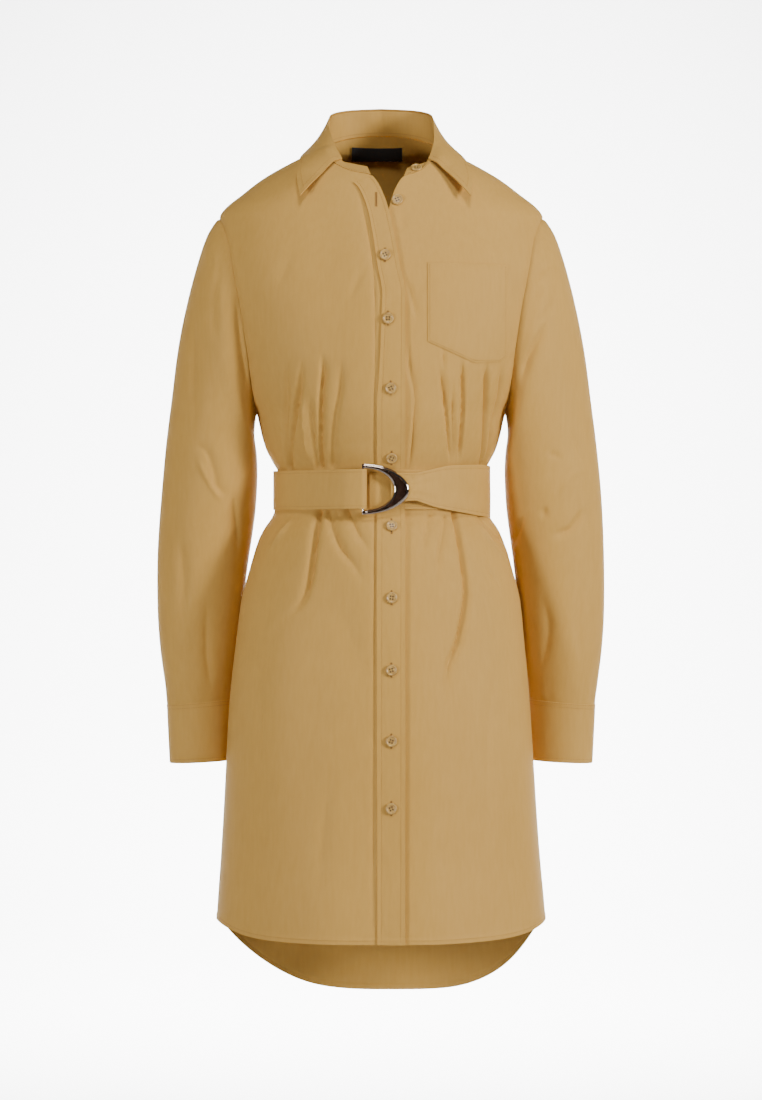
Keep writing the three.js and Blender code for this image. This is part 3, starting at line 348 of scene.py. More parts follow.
def read(rows, key, column, at):
    """A table's column read at any place between its rows, cubic and with no overshoot."""
    keys, values = rows[key], rows[column]
    spans = np.diff(keys)
    slopes = np.diff(values) / spans
    tangents = np.zeros_like(values)
    tangents[0], tangents[-1] = slopes[0], slopes[-1]
    before, after = slopes[:-1], slopes[1:]
    same = before * after > 0
    total = np.where(same, before + after, 1)
    tangents[1:-1] = np.where(same, 2 * before * after / total, 0)
    at = np.clip(np.asarray(at, float), keys[0], keys[-1])
    i = np.clip(np.searchsorted(keys, at, side="right") - 1, 0, len(keys) - 2)
    t = (at - keys[i]) / spans[i]
    rise = t * t * (3 - 2 * t)
    lead = t * (1 - t) ** 2 * tangents[i] * spans[i]
    tail = t * t * (t - 1) * tangents[i + 1] * spans[i]
    return values[i] + (values[i + 1] - values[i]) * rise + lead + tail


def half_width(z):
    return read(SECTIONS, "z", "half", z)


def depth_at(facing, z):
    """Depth of the form on its front, where facing is above 0, or on its back."""
    return np.where(facing > 0, read(SECTIONS, "z", "front", z), read(SECTIONS, "z", "back", z))


def vectors(x, y, z):
    return np.stack(np.broadcast_arrays(x, y, z), -1).astype(float)


def form(turn, z):
    """A point of the form: turn 0 is the middle of the front, 90 the wearer's left, 180 the back."""
    angle = np.radians(turn)
    facing = np.cos(angle)
    return vectors(half_width(z) * np.sin(angle), -depth_at(facing, z) * facing, z)


def turn_at(x, z):
    return np.degrees(np.arcsin(np.clip(np.asarray(x, float) / half_width(z), -1, 1)))


ROUND_SHARE = 0.85  # a degree round the form, as a share of one on a circle of its half width


def arc(turn, z):
    """Distance round the form from the middle of the front, or of the back."""
    return np.radians(turn) * ROUND_SHARE * half_width(z)


def seen(points, depth):
    """Picture points as x and z on the part, for a surface that far in front of the body's axis."""
    scale = PIXEL * (1 - depth * MM / CAMERA_AWAY)
    points = np.array(points, float)
    x = (points[:, 0] - PICTURE_MIDDLE_X) * scale
    z = CAMERA_HIGH / MM + (PICTURE_MIDDLE_Y - points[:, 1]) * scale
    return np.stack([x, z], 1)


def path_at(points, place):
    """A smooth path through some points, at a place that is counted in points."""
    last = len(points) - 1
    i = min(int(place), last - 1)
    a, b, c, d = (points[min(max(k, 0), last)] for k in (i - 1, i, i + 1, i + 2))
    t = place - i
    lead, tail = (c - a) / 2, (d - b) / 2
    return b + lead * t + (3 * (c - b) - 2 * lead - tail) * t**2 + (2 * (b - c) + lead + tail) * t**3


def rounded(points, steps=8):
    """A smooth line through some points."""
    points = np.array(points, float)
    if len(points) < 3:
        return points
    places = np.arange((len(points) - 1) * steps + 1) / steps
    return np.array([path_at(points, place) for place in places])


CREASE_SHARPNESS = 0.72
FOLD_REACH = 3  # how many widths away a fold is still felt
FRONT_DEPTH = 110  # how far in front of the body's axis the front's cloth lies
SLEEVE_DEPTH = 40
TAIL_DEPTH = 95
FRONT_BOLD, FRONT_NARROW = 1.35, 0.6  # factors for the folds' depths and widths
SLEEVE_BOLD, SLEEVE_NARROW = 1.2, 0.72
FLUTE_DEEP = 4.2


def fold_depths(folds, lines, across, high, narrow=1.0):
    """How deep some folds go in, at places given by distance across and height."""
    total = np.zeros(across.shape)
    for (deep, left, right, top, low, _), line in zip(folds, lines):
        reach = FOLD_REACH * max(left, right)
        near = (across > line[:, 0].min() - reach) & (across < line[:, 0].max() + reach)
        near &= (high > line[:, 1].min() - reach) & (high < line[:, 1].max() + reach)
        if not near.any():
            continue
        s, z = across[near], high[near]
        best = np.full(s.shape, 1e9)
        place, aside = np.zeros(s.shape), np.zeros(s.shape)
        lengths = np.hypot(*np.diff(line, axis=0).T)
        start = 0.0
        for (ax, az), (bx, bz), length in zip(line[:-1], line[1:], lengths):
            dx, dz = (bx - ax) / length, (bz - az) / length
            along = np.clip((s - ax) * dx + (z - az) * dz, 0, length)
            px, pz = s - ax - dx * along, z - az - dz * along
            away = px * px + pz * pz
            closer = away < best
            best = np.where(closer, away, best)
            place = np.where(closer, start + along, place)
            aside = np.where(closer, dx * pz - dz * px, aside)
            start += length
        share = place / start
        fade = step(0, top, share) * step(0, low, 1 - share)
        width = lerp(left, right, step(-1, 1, aside / 2)) * narrow
        total[near] += deep * fade * np.exp(-((best / width**2) ** CREASE_SHARPNESS))
    return total


def waves(seed, size, *axes):
    """Slow unevenness of the cloth between -1 and 1, from a few waves in fixed directions."""
    rng = np.random.default_rng(seed)
    total = 0
    for _ in range(6):
        direction = rng.normal(size=len(axes))
        direction *= rng.uniform(0.7, 1.4) / np.linalg.norm(direction)
        phase = rng.uniform(0, 2 * math.pi)
        total = total + np.sin(sum(a * d for a, d in zip(axes, direction)) / size * 2 * math.pi + phase)
    return total / 6


def round_form(points, side):
    """A line of x and height as distance round the form and height."""
    line = rounded(points)
    line[:, 0] = side * arc(turn_at(line[:, 0], line[:, 1]), line[:, 1])
    return line


front_lines = [round_form(seen(fold[5], FRONT_DEPTH), 1) for fold in FRONT_FOLDS]
back_lines = [round_form(fold[5], -1) for fold in BACK_FOLDS]


def body_depth(turn, z):
    """How deep the cloth lies under the form, with its folds and unevenness."""
    turn = (np.asarray(turn, float) + 540) % 360 - 180
    turn, z = np.broadcast_arrays(turn, z)
    from_back = np.where(turn > 0, turn - 180, turn + 180)
    deep = fold_depths(FRONT_FOLDS, front_lines, arc(turn, z), z, FRONT_NARROW) * FRONT_BOLD
    deep = deep + fold_depths(BACK_FOLDS, back_lines, arc(from_back, z), z)
    x, y = form(turn, z)[..., 0], form(turn, z)[..., 1]
    slow = waves(3, 210, x, y, z * 0.6) * 1.1
    quick = waves(8, 74, x, y, z * 0.5) * 0.35
    flutes = waves(12, 105, x, y, z * 0.1) * FLUTE_DEEP * step(-460, -640, z)
    belted = step(-440, -418, z) * step(-340, -362, z)
    free = 1 - belted
    return np.where(deep < 0, deep * free, deep) + (slow + quick) * free + BELT_CINCH * belted + flutes


def on_cloth(turn, z, sunk=0.0):
    """The point of the cloth at a turn and height, sunk in by a further distance."""
    point = form(turn, z)
    deep = body_depth(turn, z) + sunk
    return point - unit(point * (1, 1, 0)) * deep[..., None]


class Sheet:
    """A grid of cloth with its normals; us run anticlockwise seen from above, vs run up."""

    def __init__(self, us, vs, points, ringed=False):
        self.us, self.vs, self.points, self.ringed = np.array(us), np.array(vs), points, ringed
        if ringed:
            along_u = np.roll(points, -1, 1) - np.roll(points, 1, 1)
        else:
            along_u = np.gradient(points, axis=1)
        self.normals = unit(np.cross(along_u, np.gradient(points, axis=0)))

    def moved(self, lift):
        """The same sheet moved out along its normals."""
        lift = np.asarray(lift, float)
        lift = lift[..., None] if lift.ndim else lift
        return Sheet(self.us, self.vs, self.points + self.normals * lift, self.ringed)

    def at(self, u, v):
        """Points and normals at places given by u and v."""
        u, v = np.broadcast_arrays(np.asarray(u, float), np.asarray(v, float))
        j = np.clip(np.searchsorted(self.us, u, side="right") - 1, 0, len(self.us) - 2)
        i = np.clip(np.searchsorted(self.vs, v, side="right") - 1, 0, len(self.vs) - 2)
        a = np.clip((u - self.us[j]) / (self.us[j + 1] - self.us[j]), 0, 1)[..., None]
        b = np.clip((v - self.vs[i]) / (self.vs[i + 1] - self.vs[i]), 0, 1)[..., None]
        result = []
        for grid in (self.points, self.normals):
            low = lerp(grid[i, j], grid[i, j + 1], a)
            high = lerp(grid[i + 1, j], grid[i + 1, j + 1], a)
            result.append(lerp(low, high, b))
        return result


def new_object(name, points, faces, sharp):
    """A mesh object from points in millimetres, with sharp edges above that angle."""
    mesh = bpy.data.meshes.new(name)
    mesh.from_pydata((np.asarray(points) * MM).tolist(), [], [list(map(int, face)) for face in faces])
    mesh.validate()
    mesh.shade_smooth()
    mesh.set_sharp_from_angle(angle=math.radians(sharp))
    piece = bpy.data.objects.new(name, mesh)
    bpy.context.scene.collection.objects.link(piece)
    return piece


def wall(name, sheet, inner, outer):
    """A closed wall over a sheet, between two distances from it."""
    rows, columns = sheet.points.shape[:2]
    shape = (rows, columns, 1)
    points = [sheet.points + sheet.normals * np.broadcast_to(np.reshape(lift, np.shape(lift) + (1,)), shape)
              for lift in (outer, inner)]
    grid = np.arange(rows * columns).reshape(rows, columns)
    if sheet.ringed:
        grid = np.hstack([grid, grid[:, :1]])
    inside = grid + rows * columns

    def quads(a, b, c, d):
        return np.stack([a, b, c, d], -1).reshape(-1, 4)

    parts = [
        quads(grid[:-1, :-1], grid[:-1, 1:], grid[1:, 1:], grid[1:, :-1]),
        quads(inside[:-1, :-1], inside[1:, :-1], inside[1:, 1:], inside[:-1, 1:]),
        quads(inside[0, :-1], inside[0, 1:], grid[0, 1:], grid[0, :-1]),
        quads(grid[-1, :-1], grid[-1, 1:], inside[-1, 1:], inside[-1, :-1]),
    ]
    if not sheet.ringed:
        parts.append(quads(grid[:-1, 0], grid[1:, 0], inside[1:, 0], inside[:-1, 0]))
        parts.append(quads(inside[:-1, -1], inside[1:, -1], grid[1:, -1], grid[:-1, -1]))
    return new_object(name, np.concatenate(points).reshape(-1, 3), np.concatenate(parts), sharp=50)


def armhole(arm, face):
    """Where the armhole seam lies: arm degrees up from the underarm, on the front or back half."""
    z = ARMHOLE_MIDDLE - ARMHOLE_HALF_HIGH * np.cos(np.radians(arm))
    turn = np.degrees(np.arccos(ARMHOLE_HALF_DEEP * np.sin(np.radians(arm)) / depth_at(face, z)))
    return np.where(face > 0, turn, 180 - turn), z


def hem_height(turn):
    aside = np.abs(np.sin(np.radians(turn)))
    front = lerp(FRONT_HEM, SIDE_HEM, aside**6)
    back = lerp(BACK_HEM, SIDE_HEM, aside ** np.where(np.sin(np.radians(turn)) > 0, 3.7, 2.8))
    return np.where(np.cos(np.radians(turn)) > 0, front, back)


def lower_height(row, turn):
    """Height of a row below the underarm at a turn; row 0 is the hem."""
    level = np.interp(row, np.arange(1, LOWER_ROWS + 1), ROW_HEIGHTS)
    return np.where(row >= HEM_ROWS, level, lerp(hem_height(turn), HEM_BLEND_TOP, row / HEM_ROWS))


def patch(c, t, low, high, near, far):
    """A place inside four boundary curves, each of turn and height."""
    place = []
    for k in range(2):
        level = lerp(low(c)[k], high(c)[k], t)
        across = lerp(near(t)[k], far(t)[k], c)
        corners = lerp(lerp(low(0.0)[k], low(1.0)[k], c), lerp(high(0.0)[k], high(1.0)[k], c), t)
        place.append(level + across - corners)
    return place


def banded_share(share, row):
    """The right front's columns crowd beside its free edge, so that the band keeps its width."""
    up = np.clip(row - LOWER_ROWS, 0, NECK_ROW)
    z = np.where(up > 0, read(FRONT_ROWS, "row", "z", up), lower_height(row, 0))
    x = read(FRONT_ROWS, "row", "right", up)
    side = np.where(up > 0, armhole(read(FRONT_ROWS, "row", "arm", up), 1)[0], 90)
    edge = turn_at(x, z)
    wide = (edge - turn_at(x - read(BAND_WIDTHS, "z", "wide", z), z)) / (edge + side)
    beyond = wide + (share - BAND_SHARE) / (1 - BAND_SHARE) * (1 - wide)
    return np.where(share <= BAND_SHARE, share / BAND_SHARE * wide, beyond)


def front_place(side, column, row):
    """Turn and height on a front: share 0 is its free edge and 1 its side."""
    edge = "left" if side > 0 else "right"
    share = column if side > 0 else banded_share(column, row)
    seam = 90 - SEAM_TURN
    snug = seam / 90
    low_row = np.minimum(row, LOWER_ROWS)
    near_low = side * turn_at(FRONT_ROWS[edge][0], lower_height(low_row, 0)) * snug
    turn_low = lerp(near_low, seam, share)
    z_low = lower_height(low_row, turn_low)

    def near(t):
        z = read(FRONT_ROWS, "row", "z", t * UPPER_ROWS)
        return side * turn_at(read(FRONT_ROWS, "row", edge, t * UPPER_ROWS), z) * snug, z

    def far(t):
        turn, z = armhole(read(FRONT_ROWS, "row", "arm", t * UPPER_ROWS), 1)
        return turn * snug, z

    def low(c):
        return lerp(near(0.0)[0], seam, c), UNDERARM

    def high(c):
        return seam, lerp(NECK_SIDE, SHOULDER_TIP, c)

    up = np.maximum(row - LOWER_ROWS, 0) / UPPER_ROWS
    turn_up, z_up = patch(share, up, low, high, near, far)
    above = row > LOWER_ROWS
    return side * np.where(above, turn_up, turn_low), np.where(above, z_up, z_low)


SHOULDER_SHARE = 7 / 24


def back_place(share, row):
    """Turn and height on the back, from its left side seam round to its right one."""
    seam = 90 + SEAM_TURN
    turn_low = lerp(seam, 360 - seam, share)
    z_low = lower_height(np.minimum(row, LOWER_ROWS), turn_low)
    snug = (180 - seam) / 90

    def side(t):
        turn, z = armhole(read(FRONT_ROWS, "row", "arm", t * UPPER_ROWS), -1)
        return 180 - (180 - turn) * snug, z

    def other(t):
        turn, z = side(t)
        return 360 - turn, z

    def low(c):
        return lerp(seam, 360 - seam, c), UNDERARM

    def high(c):
        half = np.where(c <= 0.5, c, 1 - c)
        around = np.clip((half - SHOULDER_SHARE) / (0.5 - SHOULDER_SHARE), 0, 1)
        turn = lerp(seam, 180, around)
        shoulder = lerp(SHOULDER_TIP, NECK_SIDE, np.minimum(half / SHOULDER_SHARE, 1))
        z = np.where(around > 0, lerp(NECK_SIDE, NECK_BACK, np.sin(around * np.pi / 2)), shoulder)
        return np.where(c <= 0.5, turn, 360 - turn), z

    up = np.maximum(row - LOWER_ROWS, 0) / UPPER_ROWS
    turn_up, z_up = patch(share, up, low, high, side, other)
    above = row > LOWER_ROWS
    return np.where(above, turn_up, turn_low), np.where(above, z_up, z_low)


def distances(points, axis):
    """Distance along a grid from its last line, along one axis."""
    steps = np.linalg.norm(np.diff(points, axis=axis), axis=-1)
    steps = np.flip(steps, axis)
    total = np.cumsum(steps, axis)
    zero = np.zeros_like(np.take(total, [0], axis))
    return np.flip(np.concatenate([zero, total], axis), axis)


def pinch(away, along, seed):
    """How the cloth draws in at a sewn seam and swells beside it, with small puckers."""
    pucker = waves(seed, 13, along) * bell(away, 0, 7) * 0.35
    return 0.7 * (bell(away, 0, 2.2) - bell(away, 8, 5)) + pucker


# Rows of the panels: close at the hem, then every few millimetres.
hem_rows = [0, 0.015, 0.03, 0.045, 0.06, 0.075, 0.09, 0.105, 0.13]
level_rows = np.interp(np.arange(HEM_BLEND_TOP, UNDERARM, 3.6), ROW_HEIGHTS,
                       np.arange(1, LOWER_ROWS + 1))
all_rows = np.concatenate([hem_rows, np.arange(0.18, HEM_ROWS - 0.02, 0.055), level_rows,
                           np.linspace(LOWER_ROWS, LOWER_ROWS + UPPER_ROWS, 100)])


def hem_away(turn, row):
    """Distance above the hem, or far away above its rows."""
    rise = lower_height(np.minimum(row, HEM_ROWS), turn) - hem_height(turn)
    return np.where(row < HEM_ROWS, rise, 1e3)


def seam_sunk(row, away, z, arm_seed, side_seed):
    """How far a panel is drawn in at its armhole and its side seam."""
    return np.where(row > LOWER_ROWS, pinch(away, z, arm_seed) * 0.5, pinch(away, z, side_seed) * 0.35)


def hem_raised(turn, row):
    return HEM_THICK * (1 - step(HEM_TURNING - 1, HEM_TURNING + 1, hem_away(turn, row)))


SHOULDER_REACH = 20  # how far below the shoulder seam its pinch is felt


def front_sheet(side, shares):
    """A front from its free edge to its side; the right one is lifted where it laps over."""
    column, row = np.meshgrid(shares, all_rows)
    turn, z = front_place(side, column, row)
    flat = form(turn, z)
    seam = seam_sunk(row, distances(flat, 1), z, 21 + side, 31 + side)
    shoulder = distances(flat, 0)
    at_shoulder = (row > LOWER_ROWS) & (shoulder < SHOULDER_REACH)
    seam = np.where(at_shoulder, np.maximum(seam, pinch(shoulder, flat[..., 0], 5)), seam)
    points = on_cloth(turn, z, seam - hem_raised(turn, row))
    if side > 0:
        return Sheet(shares, all_rows, points)
    sheet = Sheet(-shares[::-1], all_rows, points[:, ::-1])
    share = -np.broadcast_to(sheet.us, column.shape)
    across = 1 - step(LAP_START, LAP_END, share)
    up = 1 - step(NECK_ROW, UPPER_ROWS, all_rows[:, None] - LOWER_ROWS)
    return sheet.moved(LAP * across * up)


band_columns = np.linspace(0, BAND_SHARE, 12)
right_front = front_sheet(-1, np.concatenate([band_columns, np.linspace(BAND_SHARE, 1, 122)[1:]]))
left_front = front_sheet(1, np.linspace(0, 1, 136))

back_shares = np.linspace(0, 1, 168)
column, row = np.meshgrid(back_shares, all_rows)
turn, z = back_place(column, row)
flat = form(turn, z)
from_far = distances(flat, 1)
away = np.minimum(from_far, from_far[:, :1] - from_far)
sunk = seam_sunk(row, away, z, 41, 43) - hem_raised(turn, row)
back_sheet = Sheet(back_shares, all_rows, on_cloth(turn, z, sunk))


def part_of(sheet, rows, columns):
    return Sheet(sheet.us[columns], sheet.vs[rows], sheet.points[rows][:, columns], sheet.ringed)


# Sleeves and cuffs
def ring_place(rings, index, turn):
    """A point of a ring: turn 0 is the sleeve's inner side, 90 its front and 180 its outer side."""
    angle = np.radians(turn)
    along = (1 - np.cos(angle)) / 2
    return vectors(lerp(rings["inX"][index], rings["outX"][index], along),
                   rings["y"][index] - rings["deep"][index] * np.sin(angle),
                   lerp(rings["inZ"][index], rings["outZ"][index], along))


def seam_place(turn):
    front = turn <= 180
    seam_turn, z = armhole(np.where(front, turn, 360 - turn), np.where(front, 1, -1))
    return form(seam_turn, z) + (SLEEVE_SEAM_SHIFT, 0, 0)


def ring_sheet(side, turns, levels, points):
    """A tube of cloth whose last level is its low end, mirrored for the right side."""
    if side > 0:
        return Sheet(turns, -levels[::-1], points, ringed=True)
    return Sheet(-turns[::-1], -levels[::-1], points[:, ::-1] * (-1, 1, 1), ringed=True)


def circle(turns, radius):
    return [np.sin(np.radians(turns)) * radius, np.cos(np.radians(turns)) * radius]


def sleeve_sheet(side, folds):
    """A sleeve from its cuff end up to the armhole, mirrored for the right side."""
    turns = np.linspace(0, 360, 144, endpoint=False)
    levels = np.concatenate([np.linspace(0, 1, 20)[:-1], np.arange(1, RINGS - 0.3, 0.06),
                             np.linspace(RINGS - 0.3, RINGS, 10)])
    controls = [seam_place(turns)] + [ring_place(SLEEVE_RINGS, k, turns) for k in range(RINGS)]
    points = np.array([path_at(controls, level) for level in levels])[::-1]
    inward = unit(points.mean(1, keepdims=True) - points)
    lines = [rounded(seen(fold[5], SLEEVE_DEPTH)) * (side, 1) for fold in folds]
    if side < 0:
        folds = [(deep, right, left, top, low, line) for deep, left, right, top, low, line in folds]
    angle = np.broadcast_to(turns, points.shape[:2])
    front = np.sin(np.radians(angle))
    x, z = points[..., 0], points[..., 2]
    deep = fold_depths(folds, lines, x, z, SLEEVE_NARROW) * SLEEVE_BOLD * step(-0.15, 0.25, front)
    back_lines = [rounded(fold[5]) for fold in SLEEVE_BACK_FOLDS]
    deep = deep + fold_depths(SLEEVE_BACK_FOLDS, back_lines, x, z) * step(-0.15, 0.25, -front)
    from_seam = distances(points, 0)
    deep = deep + pinch(from_seam, angle, 51 + side) * 0.45 + SLEEVE_TUCK * (1 - step(0, 3, from_seam))
    from_cuff = from_seam[:1] - from_seam
    around = circle(angle, 60)
    gather = np.exp(-from_cuff / 26) * waves(61 + side, 30, *around) * 1.1
    deep = deep + gather * step(0, 8, from_cuff)
    free = step(0, 30, from_seam) * step(0, 30, from_cuff)
    deep = deep + free * waves(71 + side, 120, *around, z) * 1.2
    points = points + inward * deep[..., None]
    points[..., 0] -= SLEEVE_UNDER * (1 - step(0, 5, from_seam))
    return ring_sheet(side, turns, levels, points)


right_sleeve = sleeve_sheet(-1, RIGHT_SLEEVE_FOLDS)
left_sleeve = sleeve_sheet(1, LEFT_SLEEVE_FOLDS)


def cuff_sheet(side):
    turns = np.linspace(0, 360, 104, endpoint=False)
    levels = np.array([0, 0.02, 0.05, 0.1, 0.18, 0.26, 0.4, 0.6, 0.8, 1.0, 1.2, 1.4, 1.6, 1.75, 1.86,
                       1.92, 1.96, 1.985, 2.0])
    rows = [ring_place({k: [read(CUFF_RINGS, "at", k, level)] for k in CUFF_RINGS}, 0, turns)
            for level in levels]
    points = np.array(rows)[::-1]
    inward = unit(points.mean(1, keepdims=True) - points)
    edge = np.minimum(levels, 2 - levels)[::-1, None]
    deep = waves(81 + side, 60, *circle(turns, 40))[None, :] * 0.6
    deep = deep + bell(edge, 0, 0.02) * 0.5 + bell(edge, 0.16, 0.03) * 0.25
    return ring_sheet(side, turns, levels, points + inward * deep[..., None])


right_cuff = cuff_sheet(-1)
left_cuff = cuff_sheet(1)


# The collar: u runs from the left front end, -1, round the back to the right one, 1.
def neck_seam(u):
    """The panels' neck edge."""
    at = np.abs(u)
    around = np.clip(at / 0.5, 0, 1)
    turned = 1 - around
    share = SHOULDER_SHARE + turned * (0.5 - SHOULDER_SHARE)
    back = back_sheet.at(np.where(u < 0, share, 1 - share), LOWER_ROWS + UPPER_ROWS)[0]
    row = LOWER_ROWS + UPPER_ROWS - (np.clip(at, 0.5, 1) - 0.5) * 2 * (UPPER_ROWS - NECK_ROW)
    left = left_front.at(0, row)[0]
    right = right_front.at(0, row)[0]
    front = np.where((u < 0)[..., None], left, right)
    return np.where((at <= 0.5)[..., None], back, front)


def left_shift(u):
    return np.where(u < 0, LEFT_SHIFT * step(0.6, LEAF_END, np.abs(u)), 0)


def roll_line(u):
    """The fold along the top of the stand."""
    at = np.minimum(np.abs(u), LEAF_END)
    side = np.where(u < 0, 1, -1)
    point = vectors(side * read(COLLAR, "at", "rollX", at) + left_shift(u),
                    read(COLLAR, "at", "rollY", at), read(COLLAR, "at", "rollZ", at))
    beyond = np.clip((np.abs(u) - LEAF_END) / (1 - LEAF_END), 0, 1)[..., None]
    end = np.where((u < 0)[..., None], STAND_END_LEFT, STAND_END_RIGHT)
    return lerp(point, end, beyond)


def stand_sheet():
    us = np.linspace(-1, 1, 160)
    vs = np.linspace(0, 1, 12)
    u, v = np.meshgrid(us, vs)
    low, high = neck_seam(u), roll_line(u)
    return Sheet(us, vs, lerp(low + unit(high - low) * COLLAR_WALL / 2, high, v[..., None]))


def off_form(points, clear):
    """Points moved out until they lie that far outside the form."""
    def level(x, y, z):
        return np.hypot(x / half_width(z), y / depth_at(-y, z)) - 1

    for _ in range(5):
        place = [points[..., k] for k in range(3)]
        slope = []
        for k in range(3):
            ahead, behind = list(place), list(place)
            ahead[k], behind[k] = place[k] + 1, place[k] - 1
            slope.append((level(*ahead) - level(*behind)) / 2)
        slope = np.stack(slope, -1)
        steep = np.linalg.norm(slope, axis=-1)
        away = level(*place) / steep
        points = points + slope / steep[..., None] * np.maximum(clear - away, 0)[..., None]
    return points


def leaf_sheet():
    us = np.linspace(-LEAF_END, LEAF_END, 150)
    vs = np.concatenate([[0, 0.012, 0.03, 0.06, 0.1], np.linspace(0.15, 1, 26)])
    u, v = np.meshgrid(us, vs)
    at = np.abs(u)
    side = np.where(u < 0, 1, -1)
    top = roll_line(u)
    top = top + unit(top * (1, 1, 0)) * COLLAR_WALL * 0.5
    top[..., 2] += lerp(2.2, 4.0, step(0.5, LEAF_END, at))
    edge = vectors(side * read(COLLAR, "at", "edgeX", at) + left_shift(u),
                   read(COLLAR, "at", "edgeY", at), read(COLLAR, "at", "edgeZ", at))
    middle = lerp(top, edge, 0.42)
    lean = unit(middle * (1, 1, 0) + (0, 0, 30))
    middle = middle + lean * 2 * read(COLLAR, "at", "puff", at)[..., None]
    v = v[..., None]
    points = edge * (1 - v) ** 2 + middle * 2 * v * (1 - v) + top * v**2
    lifted = off_form(points, lerp(SHOULDER_CLEAR, TIP_CLEAR, step(0.62, 0.82, at)))
    return Sheet(us, vs, lerp(lifted, points, step(0.75, 1, v)))


stand = stand_sheet()
leaf = leaf_sheet()


# The belt
def waist_point(turn, out):
    """A point at the waist's height, that far out from the form."""
    ahead = form(turn + 0.5, WAIST) - form(turn - 0.5, WAIST)
    normal = unit(vectors(ahead[..., 1], -ahead[..., 0], 0))
    return form(turn, WAIST) + normal * np.broadcast_to(out, turn.shape)[..., None]


def belt_edge(edge):
    """How the belt's wall thins at its edges and along its stitches."""
    return bell(edge, 0.07, 0.02) * 0.22 + bell(edge, 0, 0.012) * 0.3


def belt_sheet():
    turns = np.linspace(-6, 308, 210)
    path = [waist_point(turns, BELT_LIFT)]
    xs = np.linspace(-95, BAR_X - 1, 34)
    path.append(waist_point(turn_at(xs, WAIST), read(LOOP_LEAD, "x", "out", xs)))
    angles = np.radians(np.linspace(90, -90, 20))
    xs = BAR_X + LOOP_RADIUS * np.cos(angles)
    path.append(waist_point(turn_at(xs, WAIST), LOOP_MIDDLE + LOOP_RADIUS * np.sin(angles)))
    xs = np.linspace(BAR_X - 6, -50, 8)
    path.append(waist_point(turn_at(xs, WAIST), LOOP_BACK))
    path = np.concatenate(path)
    vs = np.array([0, 0.015, 0.04, 0.07, 0.1, 0.15, 0.25, 0.38, 0.5, 0.62, 0.75, 0.85, 0.9, 0.93, 0.96,
                   0.985, 1.0])
    points = np.repeat(path[None], len(vs), 0)
    high = WAIST + BELT_HIGH * (vs[:, None] - 0.5) + np.zeros((1, len(path)))
    x, y = points[..., 0], points[..., 1]
    deep = belt_edge(np.minimum(vs, 1 - vs)[:, None]) + waves(92, 60, x, y, high) * 0.25
    points[..., 2] = high + waves(91, 150, x, y) * 0.5
    return Sheet(np.arange(len(path)), vs, points).moved(-deep)


def tail_sheet():
    turns = np.concatenate([np.linspace(5, 40, 60), np.linspace(40.8, 122, 90)])
    vs = np.array([0, 0.015, 0.04, 0.07, 0.1, 0.15, 0.22, 0.3, 0.38, 0.46, 0.54, 0.62, 0.7, 0.78, 0.85,
                   0.9, 0.93, 0.96, 0.985, 1.0])
    turn, v = np.meshgrid(turns, vs)
    at = np.maximum(turn, 7)
    points = waist_point(turn, BELT_LIFT + read(TAIL, "turn", "lift", at))
    points[..., 2] = lerp(read(TAIL, "turn", "low", at), read(TAIL, "turn", "high", at), v)
    x, z = points[..., 0], points[..., 2]
    lines = [rounded(seen(fold[5], TAIL_DEPTH)) for fold in TAIL_FOLDS]
    folded = fold_depths(TAIL_FOLDS, lines, x, z) * (np.cos(np.radians(turn)) > 0)
    deep = belt_edge(np.minimum(v, 1 - v)) + folded + waves(93, 60, turn * 1.6, z) * 0.3
    return Sheet(turns, vs, points).moved(-deep)


belt = belt_sheet()
tail = tail_sheet()


# Stitches: small closed lozenges along a line on a sheet.
stitch_groups = {}
# These groups get the dark material: painted shade in the buttons' holes and along the buttonholes' slits.
PAINTED_SHADE_GROUPS = ("button_thread", "buttonhole_slits")
STITCH_PITCH = 2.9
STITCH_LONG = 2.2


def sew(group, line, pitch=STITCH_PITCH, long=STITCH_LONG, wide=0.55, high=0.28):
    """Stitches along points and normals."""
    points, normals = line
    lengths = np.concatenate([[0], np.cumsum(np.linalg.norm(np.diff(points, axis=0), axis=1))])
    places = np.arange(pitch / 2, lengths[-1], pitch)

    def taken(values, ahead=0.0):
        return np.stack([np.interp(places + ahead, lengths, values[:, k]) for k in range(3)], 1)

    middle, up = taken(points), unit(taken(normals))
    along = unit(taken(points, 0.4) - taken(points, -0.4))
    aside = np.cross(up, along)
    ring = [(-wide / 2, 0), (0, high), (wide / 2, 0), (0, -high)]
    verts = [middle - along * long / 2, middle + along * long / 2]
    for shift in (-long / 4, long / 4):
        for a, b in ring:
            verts.append(middle + along * shift + aside * a + up * b)
    verts = np.stack(verts, 1)
    faces = []
    for k in range(4):
        n = (k + 1) % 4
        faces += [(0, 2 + n, 2 + k), (1, 6 + k, 6 + n), (2 + k, 2 + n, 6 + n), (2 + k, 6 + n, 6 + k)]
    faces = np.array(faces)[None] + np.arange(len(places))[:, None, None] * 10
    stitch_groups.setdefault(group, []).append((verts.reshape(-1, 3), faces.reshape(-1, 3)))


def stitch_object(group):
    points, faces, start = [], [], 0
    for verts, tris in stitch_groups[group]:
        points.append(verts)
        faces.append(tris + start)
        start += len(verts)
    return new_object(group, np.concatenate(points), np.concatenate(faces), sharp=80)


# Materials
def node(tree, kind, **values):
    made = tree.nodes.new(kind)
    for key, value in values.items():
        if hasattr(made, key):
            setattr(made, key, value)
        else:
            made.inputs[key.replace("_", " ")].default_value = value
    return made


def new_material(name, roughness, metallic=0.0):
    material = bpy.data.materials.new(name)
    material.use_nodes = True
    shader = material.node_tree.nodes["Principled BSDF"]
    shader.inputs["Roughness"].default_value = roughness
    shader.inputs["Metallic"].default_value = metallic
    return material, material.node_tree, shader


